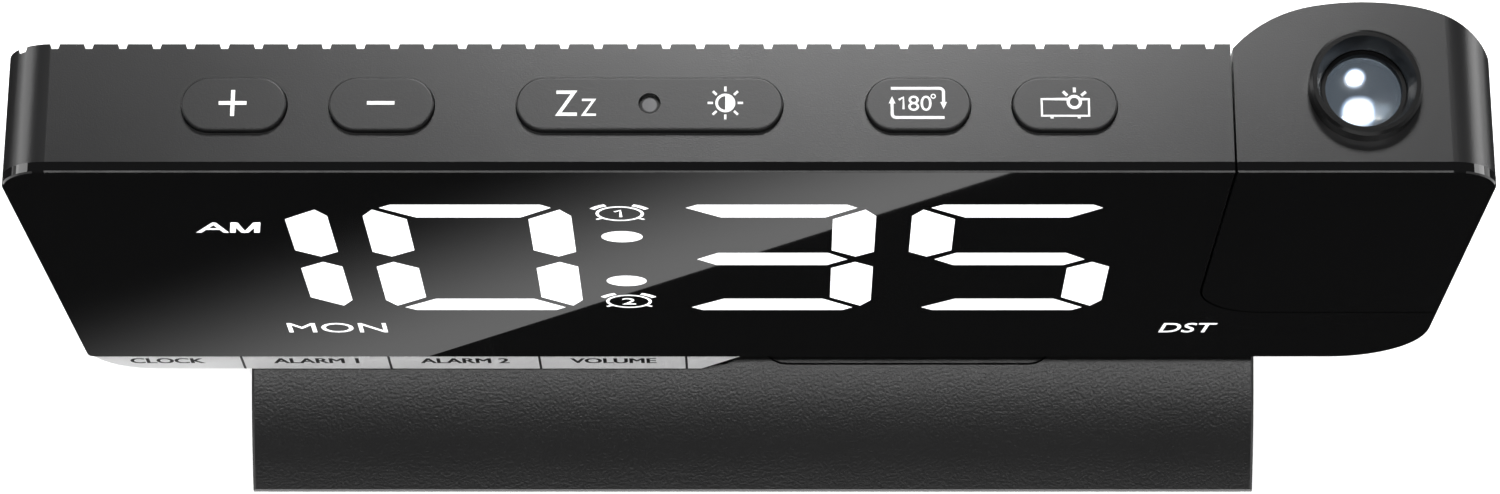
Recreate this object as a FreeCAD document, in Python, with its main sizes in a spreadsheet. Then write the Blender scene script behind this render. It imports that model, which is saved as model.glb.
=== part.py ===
# Projection alarm clock: a slim display body on a domed stand, with a projector head
# that turns by half a turn at its right end. Lengths in millimetres.
# X runs to the right, Y to the back and Z up. The origin is under the middle of the
# clock, on the surface that the feet stand on.
import FreeCAD, Part
import math
import os
import Sketcher

doc = FreeCAD.newDocument("ProjectionAlarmClock")
sheet = doc.addObject("Spreadsheet::Sheet", "Sizes")
nodes = []
namesBefore = list(globals())


# A size with the text that binds it to the sheet
class Size:
    def __init__(self, value, text):
        self.value = float(value)
        self.text = text

    def joined(self, other, sign, value):
        return Size(value, "(" + self.text + " " + sign + " " + other.text + ")")

    def __add__(self, other):
        other = sized(other)
        return self.joined(other, "+", self.value + other.value)

    def __sub__(self, other):
        other = sized(other)
        return self.joined(other, "-", self.value - other.value)

    def __mul__(self, other):
        other = sized(other)
        return self.joined(other, "*", self.value * other.value)

    def __truediv__(self, other):
        other = sized(other)
        return self.joined(other, "/", self.value / other.value)

    def __radd__(self, other):
        return sized(other) + self

    def __rsub__(self, other):
        return sized(other) - self

    def __rmul__(self, other):
        return sized(other) * self

    def __neg__(self):
        return sized(0) - self


def sized(number):
    if isinstance(number, Size):
        return number
    return Size(number, repr(float(number)))


def root(size):
    return Size(math.sqrt(size.value), "sqrt(" + size.text + ")")


def square(size):
    return size * size


# Each plain number named since the last call gets a cell of the sheet, and its name then
# stands for that cell. Counts stay plain numbers.
def enterSizes():
    for name, value in list(globals().items()):
        if name in namesBefore or name.endswith("Count") or type(value) not in (int, float):
            continue
        row = len(sheet.getUsedCells()) // 2 + 1
        sheet.set("A" + str(row), name)
        sheet.set("B" + str(row), repr(float(value)))
        sheet.setAlias("B" + str(row), name)
        globals()[name] = Size(value, "Sizes." + name)
    doc.recompute()


# Helpers for sketches and features
def newBody(name):
    body = doc.addObject("PartDesign::Body", name)
    body.Label = name
    nodes.append(body)
    return body


def newSketch(body, name, role, level=0, right=0, up=0):
    sketch = body.newObject("Sketcher::SketchObject", name)
    plane = [item for item in body.Origin.OriginFeatures if item.Role == role][0]
    sketch.AttachmentSupport = [(plane, "")]
    sketch.MapMode = "FlatFace"
    sketch.setExpression("AttachmentOffset.Base.x", sized(right).text)
    sketch.setExpression("AttachmentOffset.Base.y", sized(up).text)
    sketch.setExpression("AttachmentOffset.Base.z", sized(level).text)
    return sketch


def bind(sketch, constraints, values):
    first = len(sketch.Constraints)
    sketch.addConstraint(constraints)
    for index, value in enumerate(values):
        if value is not None and "Sizes" in value.text:
            sketch.setExpression("Constraints[" + str(first + index) + "]", value.text)


# A closed outline. A corner (x, y) starts a straight edge to the next corner, and
# (x, y, radius, side) starts an arc whose centre lies on that side of the way.
def drawOutline(sketch, corners):
    count = len(corners)
    points = [(sized(corner[0]), sized(corner[1])) for corner in corners]
    edges, ends, radii = [], [], []
    for index in range(count):
        here, there = points[index], points[(index + 1) % count]
        start = FreeCAD.Vector(here[0].value, here[1].value, 0)
        stop = FreeCAD.Vector(there[0].value, there[1].value, 0)
        if len(corners[index]) == 2:
            edges.append(Part.LineSegment(start, stop))
            ends.append((1, 2))
            radii.append(None)
            continue
        radius = sized(corners[index][2])
        onLeft = corners[index][3] == "left"
        chord = stop - start
        side = FreeCAD.Vector(-chord.y, chord.x, 0).normalize()
        rise = math.sqrt(max(radius.value ** 2 - chord.Length ** 2 / 4, 0))
        centre = (start + stop) * 0.5 + side * (rise if onLeft else -rise)
        first, last = (start, stop) if onLeft else (stop, start)
        angles = [math.atan2(end.y - centre.y, end.x - centre.x) for end in (first, last)]
        circle = Part.Circle(centre, FreeCAD.Vector(0, 0, 1), radius.value)
        edges.append(Part.ArcOfCircle(circle, angles[0], angles[1]))
        ends.append((1, 2) if onLeft else (2, 1))
        radii.append(radius)
    offset = len(sketch.Geometry)
    sketch.addGeometry(edges, False)
    constraints, values = [], []
    for index in range(count):
        after = (index + 1) % count
        constraints.append(Sketcher.Constraint(
            "Coincident", offset + index, ends[index][1], offset + after, ends[after][0]))
        values.append(None)
        for kind, value in (("DistanceX", points[index][0]), ("DistanceY", points[index][1])):
            constraints.append(Sketcher.Constraint(
                kind, -1, 1, offset + index, ends[index][0], value.value))
            values.append(value)
        if radii[index] is not None:
            constraints.append(Sketcher.Constraint("Radius", offset + index, radii[index].value))
            values.append(radii[index])
    bind(sketch, constraints, values)


def drawCircle(sketch, centreX, centreY, radius):
    centreX, centreY, radius = sized(centreX), sized(centreY), sized(radius)
    centre = FreeCAD.Vector(centreX.value, centreY.value, 0)
    index = len(sketch.Geometry)
    sketch.addGeometry([Part.Circle(centre, FreeCAD.Vector(0, 0, 1), radius.value)], False)
    constraints = [
        Sketcher.Constraint("DistanceX", -1, 1, index, 3, centreX.value),
        Sketcher.Constraint("DistanceY", -1, 1, index, 3, centreY.value),
        Sketcher.Constraint("Radius", index, radius.value)]
    bind(sketch, constraints, [centreX, centreY, radius])


def drawShapes(sketch, shapes):
    for shape in shapes:
        if shape[0] == "circle":
            drawCircle(sketch, *shape[1:])
        else:
            drawOutline(sketch, shape)


def box(left, low, right, high):
    return [(left, low), (right, low), (right, high), (left, high)]


def rounded(left, low, right, high, radius):
    return [
        (left + radius, low), (right - radius, low, radius, "left"),
        (right, low + radius), (right, high - radius, radius, "left"),
        (right - radius, high), (left + radius, high, radius, "left"),
        (left, high - radius), (left, low + radius, radius, "left")]


# A pill lying along the first axis of its sketch
def pill(centreX, centreY, length, width):
    radius = width / 2
    left = centreX - length / 2
    right = centreX + length / 2
    return [
        (left + radius, centreY - radius), (right - radius, centreY - radius, radius, "left"),
        (right, centreY, radius, "left"), (right - radius, centreY + radius),
        (left + radius, centreY + radius, radius, "left"), (left, centreY, radius, "left")]


# The sketch lies at the start of the stroke, so that a pad adds and a pocket cuts
# exactly between the two places along the axis of the plane.
def addPrism(body, name, role, low, high, shapes):
    low, high = sized(low), sized(high)
    level = -high if role == "XZ_Plane" else low
    sketch = newSketch(body, name + "Sketch", role, level)
    drawShapes(sketch, shapes)
    pad = body.newObject("PartDesign::Pad", name)
    pad.Profile = sketch
    pad.setExpression("Length", (high - low).text)
    body.Tip = pad
    return pad


def cutPrism(body, name, role, low, high, shapes):
    low, high = sized(low), sized(high)
    level = -low if role == "XZ_Plane" else high
    sketch = newSketch(body, name + "Sketch", role, level)
    drawShapes(sketch, shapes)
    pocket = body.newObject("PartDesign::Pocket", name)
    pocket.Profile = sketch
    pocket.Type = "Length"
    pocket.setExpression("Length", (high - low).text)
    body.Tip = pocket
    return pocket


# A turned form about the upright axis, or about the cross axis, of its sketch
def turnForm(body, name, kind, axis, role, level, right, up, shapes, angle=360):
    sketch = newSketch(body, name + "Sketch", role, level, right, up)
    drawShapes(sketch, shapes)
    feature = body.newObject("PartDesign::" + kind, name)
    feature.Profile = sketch
    feature.ReferenceAxis = (sketch, [axis])
    feature.Angle = angle
    feature.Midplane = angle < 360
    body.Tip = feature
    return feature


def repeatAlong(body, name, feature, step, count):
    pattern = body.newObject("PartDesign::LinearPattern", name)
    pattern.Originals = [feature]
    pattern.Direction = (feature.Profile[0], ["H_Axis"])
    pattern.setExpression("Length", (step * (count - 1)).text)
    pattern.Occurrences = count
    body.Tip = pattern
    return pattern


def softenEdges(body, name, kind, amount, isChosen):
    doc.recompute()
    edges = []
    for index, edge in enumerate(body.Shape.Edges):
        if isChosen(edge):
            edges.append("Edge" + str(index + 1))
    base = body.Tip
    feature = body.newObject("PartDesign::" + kind, name)
    feature.Base = (base, edges)
    feature.setExpression("Radius" if kind == "Fillet" else "Size", amount.text)
    body.Tip = feature
    return feature


def liesAt(edge, axis, place):
    bounds = edge.BoundBox
    spans = {"x": (bounds.XMin, bounds.XMax), "y": (bounds.YMin, bounds.YMax), "z": (bounds.ZMin, bounds.ZMax)}
    return all(math.isclose(end, place.value, abs_tol=1e-4) for end in spans[axis])


# Round spots of one radius, and a level run along the clock
def spots(places, radius):
    return [("circle", across, up, radius) for across, up in places]


# Display body and the whole clock
clockWidth = 190
panelHeight = 75
panelThick = 1.4
housingDepth = 16
topCorner = 6.3
armCorner = 12.5
footCorner = 1
wall = 2
backWall = 2.4
cavityCorner = 1.5
fitGap = 0.1
seatGap = 0.05
panelBevel = 0.2
neckRise = 7.6
footProud = 1
standCrest = 10.4
enterSizes()

leftEnd = -clockWidth / 2
rightEnd = clockWidth / 2
standFloor = footProud
standTop = standFloor + standCrest
bodyFloor = standTop + neckRise
bodyTop = bodyFloor + panelHeight
panelFront = -(panelThick + housingDepth) / 2
panelBack = panelFront + panelThick
housingBack = panelBack + housingDepth
innerBack = housingBack - backWall
deckUnder = bodyTop - wall
innerFloor = bodyFloor + wall

# Head bay: the head turns about the pivot, and its lower end and the arm under it are
# turned to one radius about that axis, with a rounded inner corner
headWidth = 33.5
seamGap = 0.3
pivotDrop = 27.5
sweepRadius = 28.75
sweepCorner = 9
bulkhead = 4
cutSpare = 2
enterSizes()
headLeft = rightEnd - headWidth
baySide = headLeft - seamGap
bulkheadInner = baySide - bulkhead
pivotUp = bodyTop - pivotDrop
bayRadius = sweepRadius + seamGap
bayCorner = sweepCorner + seamGap
armTop = pivotUp - bayRadius


def bodyOutline():
    return [
        (leftEnd + footCorner, bodyFloor), (rightEnd - armCorner, bodyFloor, armCorner, "left"),
        (rightEnd, bodyFloor + armCorner), (rightEnd, bodyTop - topCorner, topCorner, "left"),
        (rightEnd - topCorner, bodyTop), (leftEnd + topCorner, bodyTop, topCorner, "left"),
        (leftEnd, bodyTop - topCorner), (leftEnd, bodyFloor + footCorner, footCorner, "left")]


def cutHeadBay(body, front, back):
    cutPrism(body, "HeadSpace", "XZ_Plane", front - cutSpare, back + cutSpare, [
        box(baySide, pivotUp, rightEnd + cutSpare, bodyTop + cutSpare)])
    turnForm(body, "HeadSweep", "Groove", "H_Axis", "XZ_Plane", 0, 0, pivotUp, [[
        (baySide, 0), (baySide, -(bayRadius - bayCorner), bayCorner, "left"),
        (baySide + bayCorner, -bayRadius), (rightEnd + cutSpare, -bayRadius),
        (rightEnd + cutSpare, 0)]])


# Top buttons: place along the row and length of each cap
buttonWidth = 7.1
buttonLength = 13.3
snoozeLength = 33.7
buttonProud = 0.9
buttonRowBack = 8.95
buttonFlange = 0.9
flangeThick = 0.8
buttonGap = 0.12
buttonTravel = 0.5
buttonEdge = 0.25
plusPlace = -65.1
minusPlace = -46.45
snoozePlace = -12.55
flipPlace = 21.4
projectorPlace = 39.95
sensorRadius = 1.4
sensorSink = 0.6
windowThick = 1
enterSizes()
buttonRow = panelFront + buttonRowBack
buttonTop = bodyTop + buttonProud
flangeTop = deckUnder - seatGap
buttonUnder = flangeTop - flangeThick
buttons = [
    ("button_plus", plusPlace, buttonLength),
    ("button_minus", minusPlace, buttonLength),
    ("button_snooze_dimmer", snoozePlace, snoozeLength),
    ("button_flip", flipPlace, buttonLength),
    ("button_projector", projectorPlace, buttonLength)]

# Rear keys, one behind each cell of the label strip
cellPitch = 21.4
firstKeyPlace = -84.2
keyRise = 7.8
keyLength = 10
keyHeight = 4.6
keyProud = 0.6
recessDeep = 1
recessMargin = 3
keyFlange = 0.9
keyGap = 0.12
keyCorner = 1
enterSizes()
keyUp = bodyFloor + keyRise
keyCount = 4
keyPlaces = [firstKeyPlace + cellPitch * index for index in range(keyCount)]
keyPosts = [(keyPlaces[index] + keyPlaces[index + 1]) / 2 for index in (0, keyCount - 2)]
recessFace = housingBack - recessDeep
recessCorner = recessMargin / 2

# Sockets on the back
powerPlace = 33
powerWidth = 9
powerHeight = 3.3
powerDepth = 7.4
outputPlace = 47
outputWidth = 13.1
outputHeight = 5.7
outputDepth = 12
socketWall = 0.35
tongueLow = 3.1
tongueHigh = 5
socketCorner = 1.5
boardThick = 1.2
socketGap = 0.3
enterSizes()
portBoardTop = innerFloor + seatGap + boardThick
powerFloor = portBoardTop + seatGap
outputFloor = portBoardTop + seatGap

# Backup cell behind a round door, and the speaker behind slots
doorPlace = 20
doorRise = 44
doorRadius = 12.5
doorThick = 1.6
doorSink = 0.8
coinSlot = 1.6
speakerRise = 41
speakerRadius = 12
speakerThick = 4.2
speakerRim = 1.4
magnetRadius = 7.2
coneRadius = 10.2
coneDeep = 0.6
slotHeight = 15
slotWidth = 1
enterSizes()
doorUp = bodyFloor + doorRise
speakerUp = bodyFloor + speakerRise

# Grooves down the back
groovePitch = 4.32
grooveFirst = -92.6
grooveMouth = 1.26
grooveFloor = 0.9
grooveDeep = 0.65
enterSizes()
speakerGrooveCount = 9
speakerPlace = grooveFirst + groovePitch * speakerGrooveCount
slotCount = 5

# Pivot
hubRadius = 4.6
hubBore = 3
hubFit = 0.05
clipThick = 0.8
clipDeep = 0.7
clipReach = 1.5
clipMouth = 3
springThick = 0.5
washerRadius = 6.7
washerThick = 0.9
hubSpare = 1.2
enterSizes()
springLeft = bulkheadInner - seatGap - springThick
clipRight = springLeft - seatGap
clipLeft = clipRight - clipThick
hubLeft = clipLeft - hubSpare
washerLeft = headLeft - seatGap - washerThick

# Posts for the boards, and the bosses for the screws of the necks
postRadius = 2.2
screwRadius = 1
screwHead = 1.9
headThick = 1.2
neckPlace = 22.5
bossRadius = 2.6
bossRise = 5
displayDepth = 5
displayLeft = -76
displayRight = 54
displayLowRise = 9.6
displayHighRise = 65
postInset = 4
postLift = 12
enterSizes()
displayLow = bodyFloor + displayLowRise
displayHigh = bodyFloor + displayHighRise
neckPlaces = [-neckPlace, neckPlace]
postRoot = wall / 4
displayFront = panelBack + seatGap
displayBack = displayFront + displayDepth
displayBoardFront = displayBack + seatGap
displayBoardBack = displayBoardFront + boardThick
displayPosts = [
    (displayLeft + postInset, displayLow + postInset + postLift),
    (displayLeft + postInset, displayHigh - postInset),
    (displayRight - postInset, displayHigh - postInset),
    (displayRight - postInset, displayLow + postInset + postLift)]


# Housing: a tub open at the front, with the button deck, the arm, the bulkhead of the
# pivot, and a grooved back with its openings
def makeHousing():
    body = newBody("housing")
    addPrism(body, "Block", "XZ_Plane", panelBack, housingBack, [bodyOutline()])
    cutPrism(body, "Cavity", "XZ_Plane", panelBack, innerBack, [[
        (leftEnd + wall + cavityCorner, innerFloor),
        (bulkheadInner - cavityCorner, innerFloor, cavityCorner, "left"),
        (bulkheadInner, innerFloor + cavityCorner),
        (bulkheadInner, deckUnder - cavityCorner, cavityCorner, "left"),
        (bulkheadInner - cavityCorner, deckUnder),
        (leftEnd + topCorner, deckUnder, topCorner - wall, "left"),
        (leftEnd + wall, deckUnder - topCorner + wall),
        (leftEnd + wall, innerFloor + cavityCorner, cavityCorner, "left")]])
    cutPrism(body, "ArmCavity", "XZ_Plane", panelBack, innerBack, [[
        (bulkheadInner - cavityCorner * 2, innerFloor),
        (rightEnd - armCorner, innerFloor, armCorner - wall, "left"),
        (rightEnd - wall, innerFloor + armCorner - wall), (rightEnd - wall, armTop - wall),
        (bulkheadInner - cavityCorner * 2, armTop - wall)]])
    cutHeadBay(body, panelBack, housingBack)
    cutPrism(body, "HubBore", "YZ_Plane", bulkheadInner - cutSpare, baySide + cutSpare, [
        ("circle", 0, pivotUp, hubRadius + hubFit)])
    cutPrism(body, "WasherSeat", "YZ_Plane", washerLeft - seatGap, baySide + cutSpare, [
        ("circle", 0, pivotUp, washerRadius)])
    addPrism(body, "Posts", "XZ_Plane", displayBoardBack + seatGap, innerBack + postRoot,
             spots(displayPosts, postRadius))
    cutPrism(body, "PostHoles", "XZ_Plane", displayBoardBack, innerBack - cavityCorner,
             spots(displayPosts, screwRadius))
    addPrism(body, "DeckPosts", "XY_Plane", deckBoardTop + seatGap, deckUnder + postRoot,
             spots([(place, 0) for place in deckPosts], deckPostRadius))
    addPrism(body, "KeyBoardPosts", "XZ_Plane", keyBoardBack + seatGap, innerBack + postRoot,
             spots([(place, keyUp) for place in keyPosts], deckPostRadius))
    neckScrews = [(place, 0) for place in neckPlaces]
    addPrism(body, "NeckBosses", "XY_Plane", innerFloor - postRoot, innerFloor + bossRise,
             spots(neckScrews, bossRadius))
    cutPrism(body, "NeckHoles", "XY_Plane", bodyFloor, innerFloor + bossRise - wall,
             spots(neckScrews, screwRadius))
    seatHalf = tenonWidth / 2 + seatGap
    cutPrism(body, "NeckSeats", "XY_Plane", bodyFloor, bodyFloor + tenonRise + seatGap, [
        rounded(place - tenonLength / 2 - seatGap, -seatHalf,
                place + tenonLength / 2 + seatGap, seatHalf, tenonCorner)
        for place in neckPlaces])
    cutPrism(body, "ButtonOpenings", "XY_Plane", deckUnder - cutSpare / 2, bodyTop, [
        pill(place, buttonRow, length + buttonGap * 2, buttonWidth + buttonGap * 2)
        for name, place, length in buttons])
    cutPrism(body, "KeyRecess", "XZ_Plane", recessFace, housingBack, [rounded(
        keyPlaces[0] - keyLength / 2 - recessMargin, keyUp - keyHeight / 2 - recessCorner,
        keyPlaces[-1] + keyLength / 2 + recessMargin, keyUp + keyHeight / 2 + recessCorner, recessCorner)])
    cutPrism(body, "KeyOpenings", "XZ_Plane", innerBack - cutSpare / 2, recessFace, [
        rounded(place - keyLength / 2 - keyGap, keyUp - keyHeight / 2 - keyGap,
                place + keyLength / 2 + keyGap, keyUp + keyHeight / 2 + keyGap, keyCorner + keyGap)
        for place in keyPlaces])
    cutPrism(body, "SocketRecess", "XZ_Plane", recessFace, housingBack, [rounded(
        powerPlace - powerWidth / 2 - recessMargin, powerFloor - recessCorner,
        outputPlace + outputWidth / 2 + recessMargin, outputFloor + outputHeight + recessCorner,
        recessCorner)])
    cutPrism(body, "SocketOpenings", "XZ_Plane", innerBack - cutSpare / 2, recessFace, [
        rounded(powerPlace - powerWidth / 2 - fitGap, powerFloor - fitGap,
                powerPlace + powerWidth / 2 + fitGap, powerFloor + powerHeight + fitGap,
                socketCorner + fitGap),
        box(outputPlace - outputWidth / 2 - fitGap, outputFloor - fitGap,
            outputPlace + outputWidth / 2 + fitGap, outputFloor + outputHeight + fitGap)])
    cutPrism(body, "DoorRecess", "XZ_Plane", housingBack - doorSink, housingBack, [
        ("circle", doorPlace, doorUp, doorRadius + fitGap + doorSink)])
    cutPrism(body, "DoorOpening", "XZ_Plane", innerBack - cutSpare / 2, housingBack - doorSink, [
        ("circle", doorPlace, doorUp, doorRadius + fitGap)])
    firstSlot = speakerPlace - groovePitch * (slotCount // 2)
    slot = cutPrism(body, "SpeakerSlot", "XZ_Plane", innerBack - cutSpare / 2, housingBack, [
        box(firstSlot - slotWidth / 2, speakerUp - slotHeight / 2,
            firstSlot + slotWidth / 2, speakerUp + slotHeight / 2)])
    repeatAlong(body, "SpeakerSlots", slot, groovePitch, slotCount)
    grooveCount = int((baySide.value - grooveFirst.value) / groovePitch.value) + 1
    groove = cutPrism(body, "Groove", "XY_Plane", bodyFloor, bodyTop, [[
        (grooveFirst - grooveFloor / 2, housingBack - grooveDeep),
        (grooveFirst + grooveFloor / 2, housingBack - grooveDeep),
        (grooveFirst + grooveMouth / 2, housingBack),
        (grooveFirst - grooveMouth / 2, housingBack)]])
    repeatAlong(body, "Grooves", groove, groovePitch, grooveCount)
    return body


# Stand: a low dome of three tangent arcs, extruded along the clock
standLength = 145.6
standDepth = 47
standEdge = 1.2
crestRadius = 16
flankRadius = 60
standWall = 2
standRim = 6.5
standEndBevel = 0.4
plateThick = 2
plateSink = 0.7
footRadius = 4
footAcross = 60
footBack = 12.5
standScrewAcross = 50
standScrewBack = 9
weightThick = 2
weightLength = 84
weightWidth = 26
saddleLength = 42.6
saddleDepth = 13.6
saddleCorner = 3.7
saddleUnder = 4.6
saddleFlange = 1.2
riserLength = 36
riserDepth = 9.6
riserCorner = 3
tenonLength = 26
tenonWidth = 6.4
tenonCorner = 1.5
tenonRise = 1.1
neckScrewSink = 8.8
enterSizes()
plateTop = standFloor + plateThick
corners = [(side, way) for side in (-1, 1) for way in (-1, 1)]
standScrews = [(standScrewAcross * side, standScrewBack * way) for side, way in corners]
standFeet = [(footAcross * side, footBack * way) for side, way in corners]

# Centres of the arcs: the crest arc stands on the middle plane, and each flank arc runs
# from the stand's edge and touches the crest arc
crestCentre = standTop - crestRadius
halfDepth = standDepth / 2
edgeUp = standFloor + standEdge
reach = flankRadius - crestRadius
edgeRise = edgeUp - crestCentre
edgeFar = root(square(halfDepth) + square(edgeRise))
along = (square(reach) + square(edgeFar) - square(flankRadius)) / (edgeFar * 2)
across = root(square(reach) - square(along))
flankBack = -(along * halfDepth + across * edgeRise) / edgeFar
flankUp = crestCentre + (along * edgeRise - across * halfDepth) / edgeFar


def domeHeight(back, inset):
    return flankUp + root(square(flankRadius - inset) - square(flankBack + back))


bossTop = domeHeight(standScrewBack, standWall)


# The dome's outline from front to back between two places, closed at the given height
def domeOutline(half, inset, closingUp):
    share = (crestRadius - inset) / reach
    touchBack = share * flankBack
    touchUp = crestCentre + share * (crestCentre - flankUp)
    side = domeHeight(half, inset)
    arcs = [
        (half, side, flankRadius - inset, "left"),
        (touchBack, touchUp, crestRadius - inset, "left"),
        (-touchBack, touchUp, flankRadius - inset, "left")]
    return [(-half, closingUp), (half, closingUp)] + arcs + [(-half, side)]


# The space over the dome, to cut a piece down to its surface
def overDome(half, inset, topUp):
    share = (crestRadius - inset) / reach
    touchBack = share * flankBack
    touchUp = crestCentre + share * (crestCentre - flankUp)
    side = domeHeight(half, inset)
    return [
        (-half, side, flankRadius - inset, "right"),
        (-touchBack, touchUp, crestRadius - inset, "right"),
        (touchBack, touchUp, flankRadius - inset, "right"),
        (half, side), (half, topUp), (-half, topUp)]


def makeStandShell():
    body = newBody("stand_shell")
    end = standLength / 2
    addPrism(body, "Dome", "YZ_Plane", -end, end, [domeOutline(halfDepth, 0, standFloor)])
    softenEdges(body, "EndBevel", "Chamfer", standEndBevel, lambda edge: (
        (liesAt(edge, "x", end) or liesAt(edge, "x", -end)) and edge.BoundBox.ZMax > (edgeUp + seatGap).value))
    cutPrism(body, "Inside", "YZ_Plane", standWall - end, end - standWall, [
        domeOutline(halfDepth - standRim, standWall, standFloor)])
    addPrism(body, "ScrewBosses", "XY_Plane", plateTop + seatGap, bossTop + postRoot,
             spots(standScrews, bossRadius))
    cutPrism(body, "BossHoles", "XY_Plane", plateTop, bossTop - standWall / 2,
             spots(standScrews, screwRadius))
    cutPrism(body, "SaddleOpenings", "XY_Plane", plateTop, standTop + cutSpare, [
        rounded(place - saddleLength / 2 - seatGap, -saddleDepth / 2 - seatGap,
                place + saddleLength / 2 + seatGap, saddleDepth / 2 + seatGap, saddleCorner + seatGap)
        for place in neckPlaces])
    return body


def makeStandPlate():
    body = newBody("stand_plate")
    half = standLength / 2 - standWall - fitGap
    deep = halfDepth - standRim - fitGap
    addPrism(body, "Plate", "XY_Plane", standFloor, plateTop, [
        rounded(-half, -deep, half, deep, footCorner)])
    cutPrism(body, "FootSeats", "XY_Plane", standFloor, standFloor + plateSink,
             spots(standFeet, footRadius + fitGap))
    cutPrism(body, "ScrewHoles", "XY_Plane", standFloor, plateTop,
             spots(standScrews, screwRadius + fitGap))
    cutPrism(body, "ScrewSinks", "XY_Plane", standFloor, standFloor + headThick + seatGap,
             spots(standScrews, screwHead + fitGap))
    return body


def makeStandFeet():
    body = newBody("stand_feet")
    footTop = standFloor + plateSink - seatGap
    for index, place in enumerate(standFeet):
        addPrism(body, "Foot" + str(index + 1), "XY_Plane", 0, footTop, spots([place], footRadius))
    return body


def makeStandWeight():
    body = newBody("stand_weight")
    addPrism(body, "Bar", "XY_Plane", plateTop + seatGap, plateTop + seatGap + weightThick, [
        rounded(-weightLength / 2, -weightWidth / 2, weightLength / 2, weightWidth / 2, footCorner)])
    return body


def makeNeck(name, middle):
    body = newBody(name)
    low = plateTop + saddleUnder
    margin = saddleFlange
    halfLength = saddleLength / 2
    halfWidth = saddleDepth / 2
    addPrism(body, "Flange", "XY_Plane", low, standTop, [
        rounded(middle - halfLength - margin / 2, -halfWidth - margin,
                middle + halfLength + margin / 2, halfWidth + margin, saddleCorner + margin / 2)])
    cutPrism(body, "FlangeTop", "YZ_Plane", middle - saddleLength, middle + saddleLength, [
        overDome(halfWidth + margin * 2, standWall + seatGap, standTop + cutSpare)])
    addPrism(body, "Saddle", "XY_Plane", low, standTop + cutSpare, [
        rounded(middle - halfLength, -halfWidth, middle + halfLength, halfWidth, saddleCorner)])
    cutPrism(body, "SaddleTop", "YZ_Plane", middle - saddleLength, middle + saddleLength, [
        overDome(halfWidth + margin * 2, 0, standTop + cutSpare * 2)])
    addPrism(body, "Riser", "XY_Plane", low, bodyFloor, [
        rounded(middle - riserLength / 2, -riserDepth / 2,
                middle + riserLength / 2, riserDepth / 2, riserCorner)])
    addPrism(body, "Tenon", "XY_Plane", bodyFloor - tenonRise, bodyFloor + tenonRise, [
        rounded(middle - tenonLength / 2, -tenonWidth / 2,
                middle + tenonLength / 2, tenonWidth / 2, tenonCorner)])
    cutPrism(body, "ScrewHole", "XY_Plane", low - cutSpare, bodyFloor + tenonRise, [
        ("circle", middle, 0, screwRadius + fitGap)])
    cutPrism(body, "ScrewSink", "XY_Plane", low - cutSpare, standFloor + neckScrewSink, [
        ("circle", middle, 0, screwHead + fitGap)])
    return body


# Round-headed screws standing on their heads, one solid for each place
def makeScrews(name, places, headUnder, tip):
    parts = []
    for place, back in places:
        where = FreeCAD.Vector(place.value, back.value, headUnder.value)
        head = Part.makeCylinder(screwHead.value, headThick.value, where)
        shank = Part.makeCylinder(
            (screwRadius - seatGap).value, (tip - headUnder).value - headThick.value,
            where + FreeCAD.Vector(0, 0, headThick.value))
        slotHalf = headThick.value / 6
        slot = Part.makeBox(
            screwHead.value * 2, slotHalf * 2, headThick.value / 2,
            where - FreeCAD.Vector(screwHead.value, slotHalf, 0))
        parts.append(head.fuse(shank).removeSplitter().cut(slot))
    node = doc.addObject("Part::Feature", name)
    node.Label = name
    node.Shape = Part.makeCompound(parts)
    nodes.append(node)
    return node


# Front panel: glossy plate over the display and the arm, with a rebate behind its lower
# edge for the label strip
stripRight = -1.8
stripThick = 0.6
stripDrop = 7.4
stripHold = 6
stripBack = 0.65
stripCorner = 8.7
stripSlant = 5.6
enterSizes()


def makeFrontPanel():
    body = newBody("front_panel")
    addPrism(body, "Plate", "XZ_Plane", panelFront, panelBack, [bodyOutline()])
    softenEdges(body, "Bevel", "Chamfer", panelBevel, lambda edge: liesAt(edge, "y", panelFront))
    cutHeadBay(body, panelFront, panelBack)
    cutPrism(body, "StripSeat", "XZ_Plane", panelFront + stripBack - seatGap, panelBack + cutSpare, [
        box(leftEnd - cutSpare, bodyFloor - cutSpare, stripRight + seatGap, bodyFloor + stripHold + seatGap)])
    return body


def makeLabelStrip():
    body = newBody("label_strip")
    low = bodyFloor - stripDrop
    high = bodyFloor + stripHold
    front = panelFront + stripBack
    addPrism(body, "Strip", "XZ_Plane", front, front + stripThick, [[
        (leftEnd + stripCorner, low), (stripRight - stripSlant, low), (stripRight, low + stripSlant),
        (stripRight, high), (leftEnd, high), (leftEnd, low + stripCorner, stripCorner, "left")]])
    return body


# Projector head: a shell with an arched back, its top flush with the button deck, on a
# hollow trunnion that turns in the bulkhead
archRadius = 36
archHalf = 6.5
archSide = 18
archReach = 23.2
headWall = 1.8
headDeck = 2
headFloorRise = 4.5
deckStep = 4
lensPlace = 78
lensReach = 11.3
enterSizes()
archBack = panelFront + archReach
lensBack = panelFront + lensReach
headMiddle = headLeft + headWidth / 2
headFloor = pivotUp - sweepRadius + headFloorRise
headDeckUnder = bodyTop - headDeck


# Plan of the head between its flat front and the three tangent arcs of its back
def headPlan(inset, front):
    middleUp = archBack - archRadius
    share = (archRadius - inset) / archRadius
    touch = root(square(archRadius) - square(archHalf))
    sideShare = (archRadius - archSide) / archRadius
    half = headWidth / 2 - inset
    endReach = root(square(archSide - inset) - square(half - archHalf * sideShare))
    endBack = middleUp + touch * sideShare + endReach
    touchBack = middleUp + touch * share
    return [
        (headMiddle - half, front), (headMiddle + half, front),
        (headMiddle + half, endBack, archSide - inset, "left"),
        (headMiddle + archHalf * share, touchBack, archRadius - inset, "left"),
        (headMiddle - archHalf * share, touchBack, archSide - inset, "left"),
        (headMiddle - half, endBack)]


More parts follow.
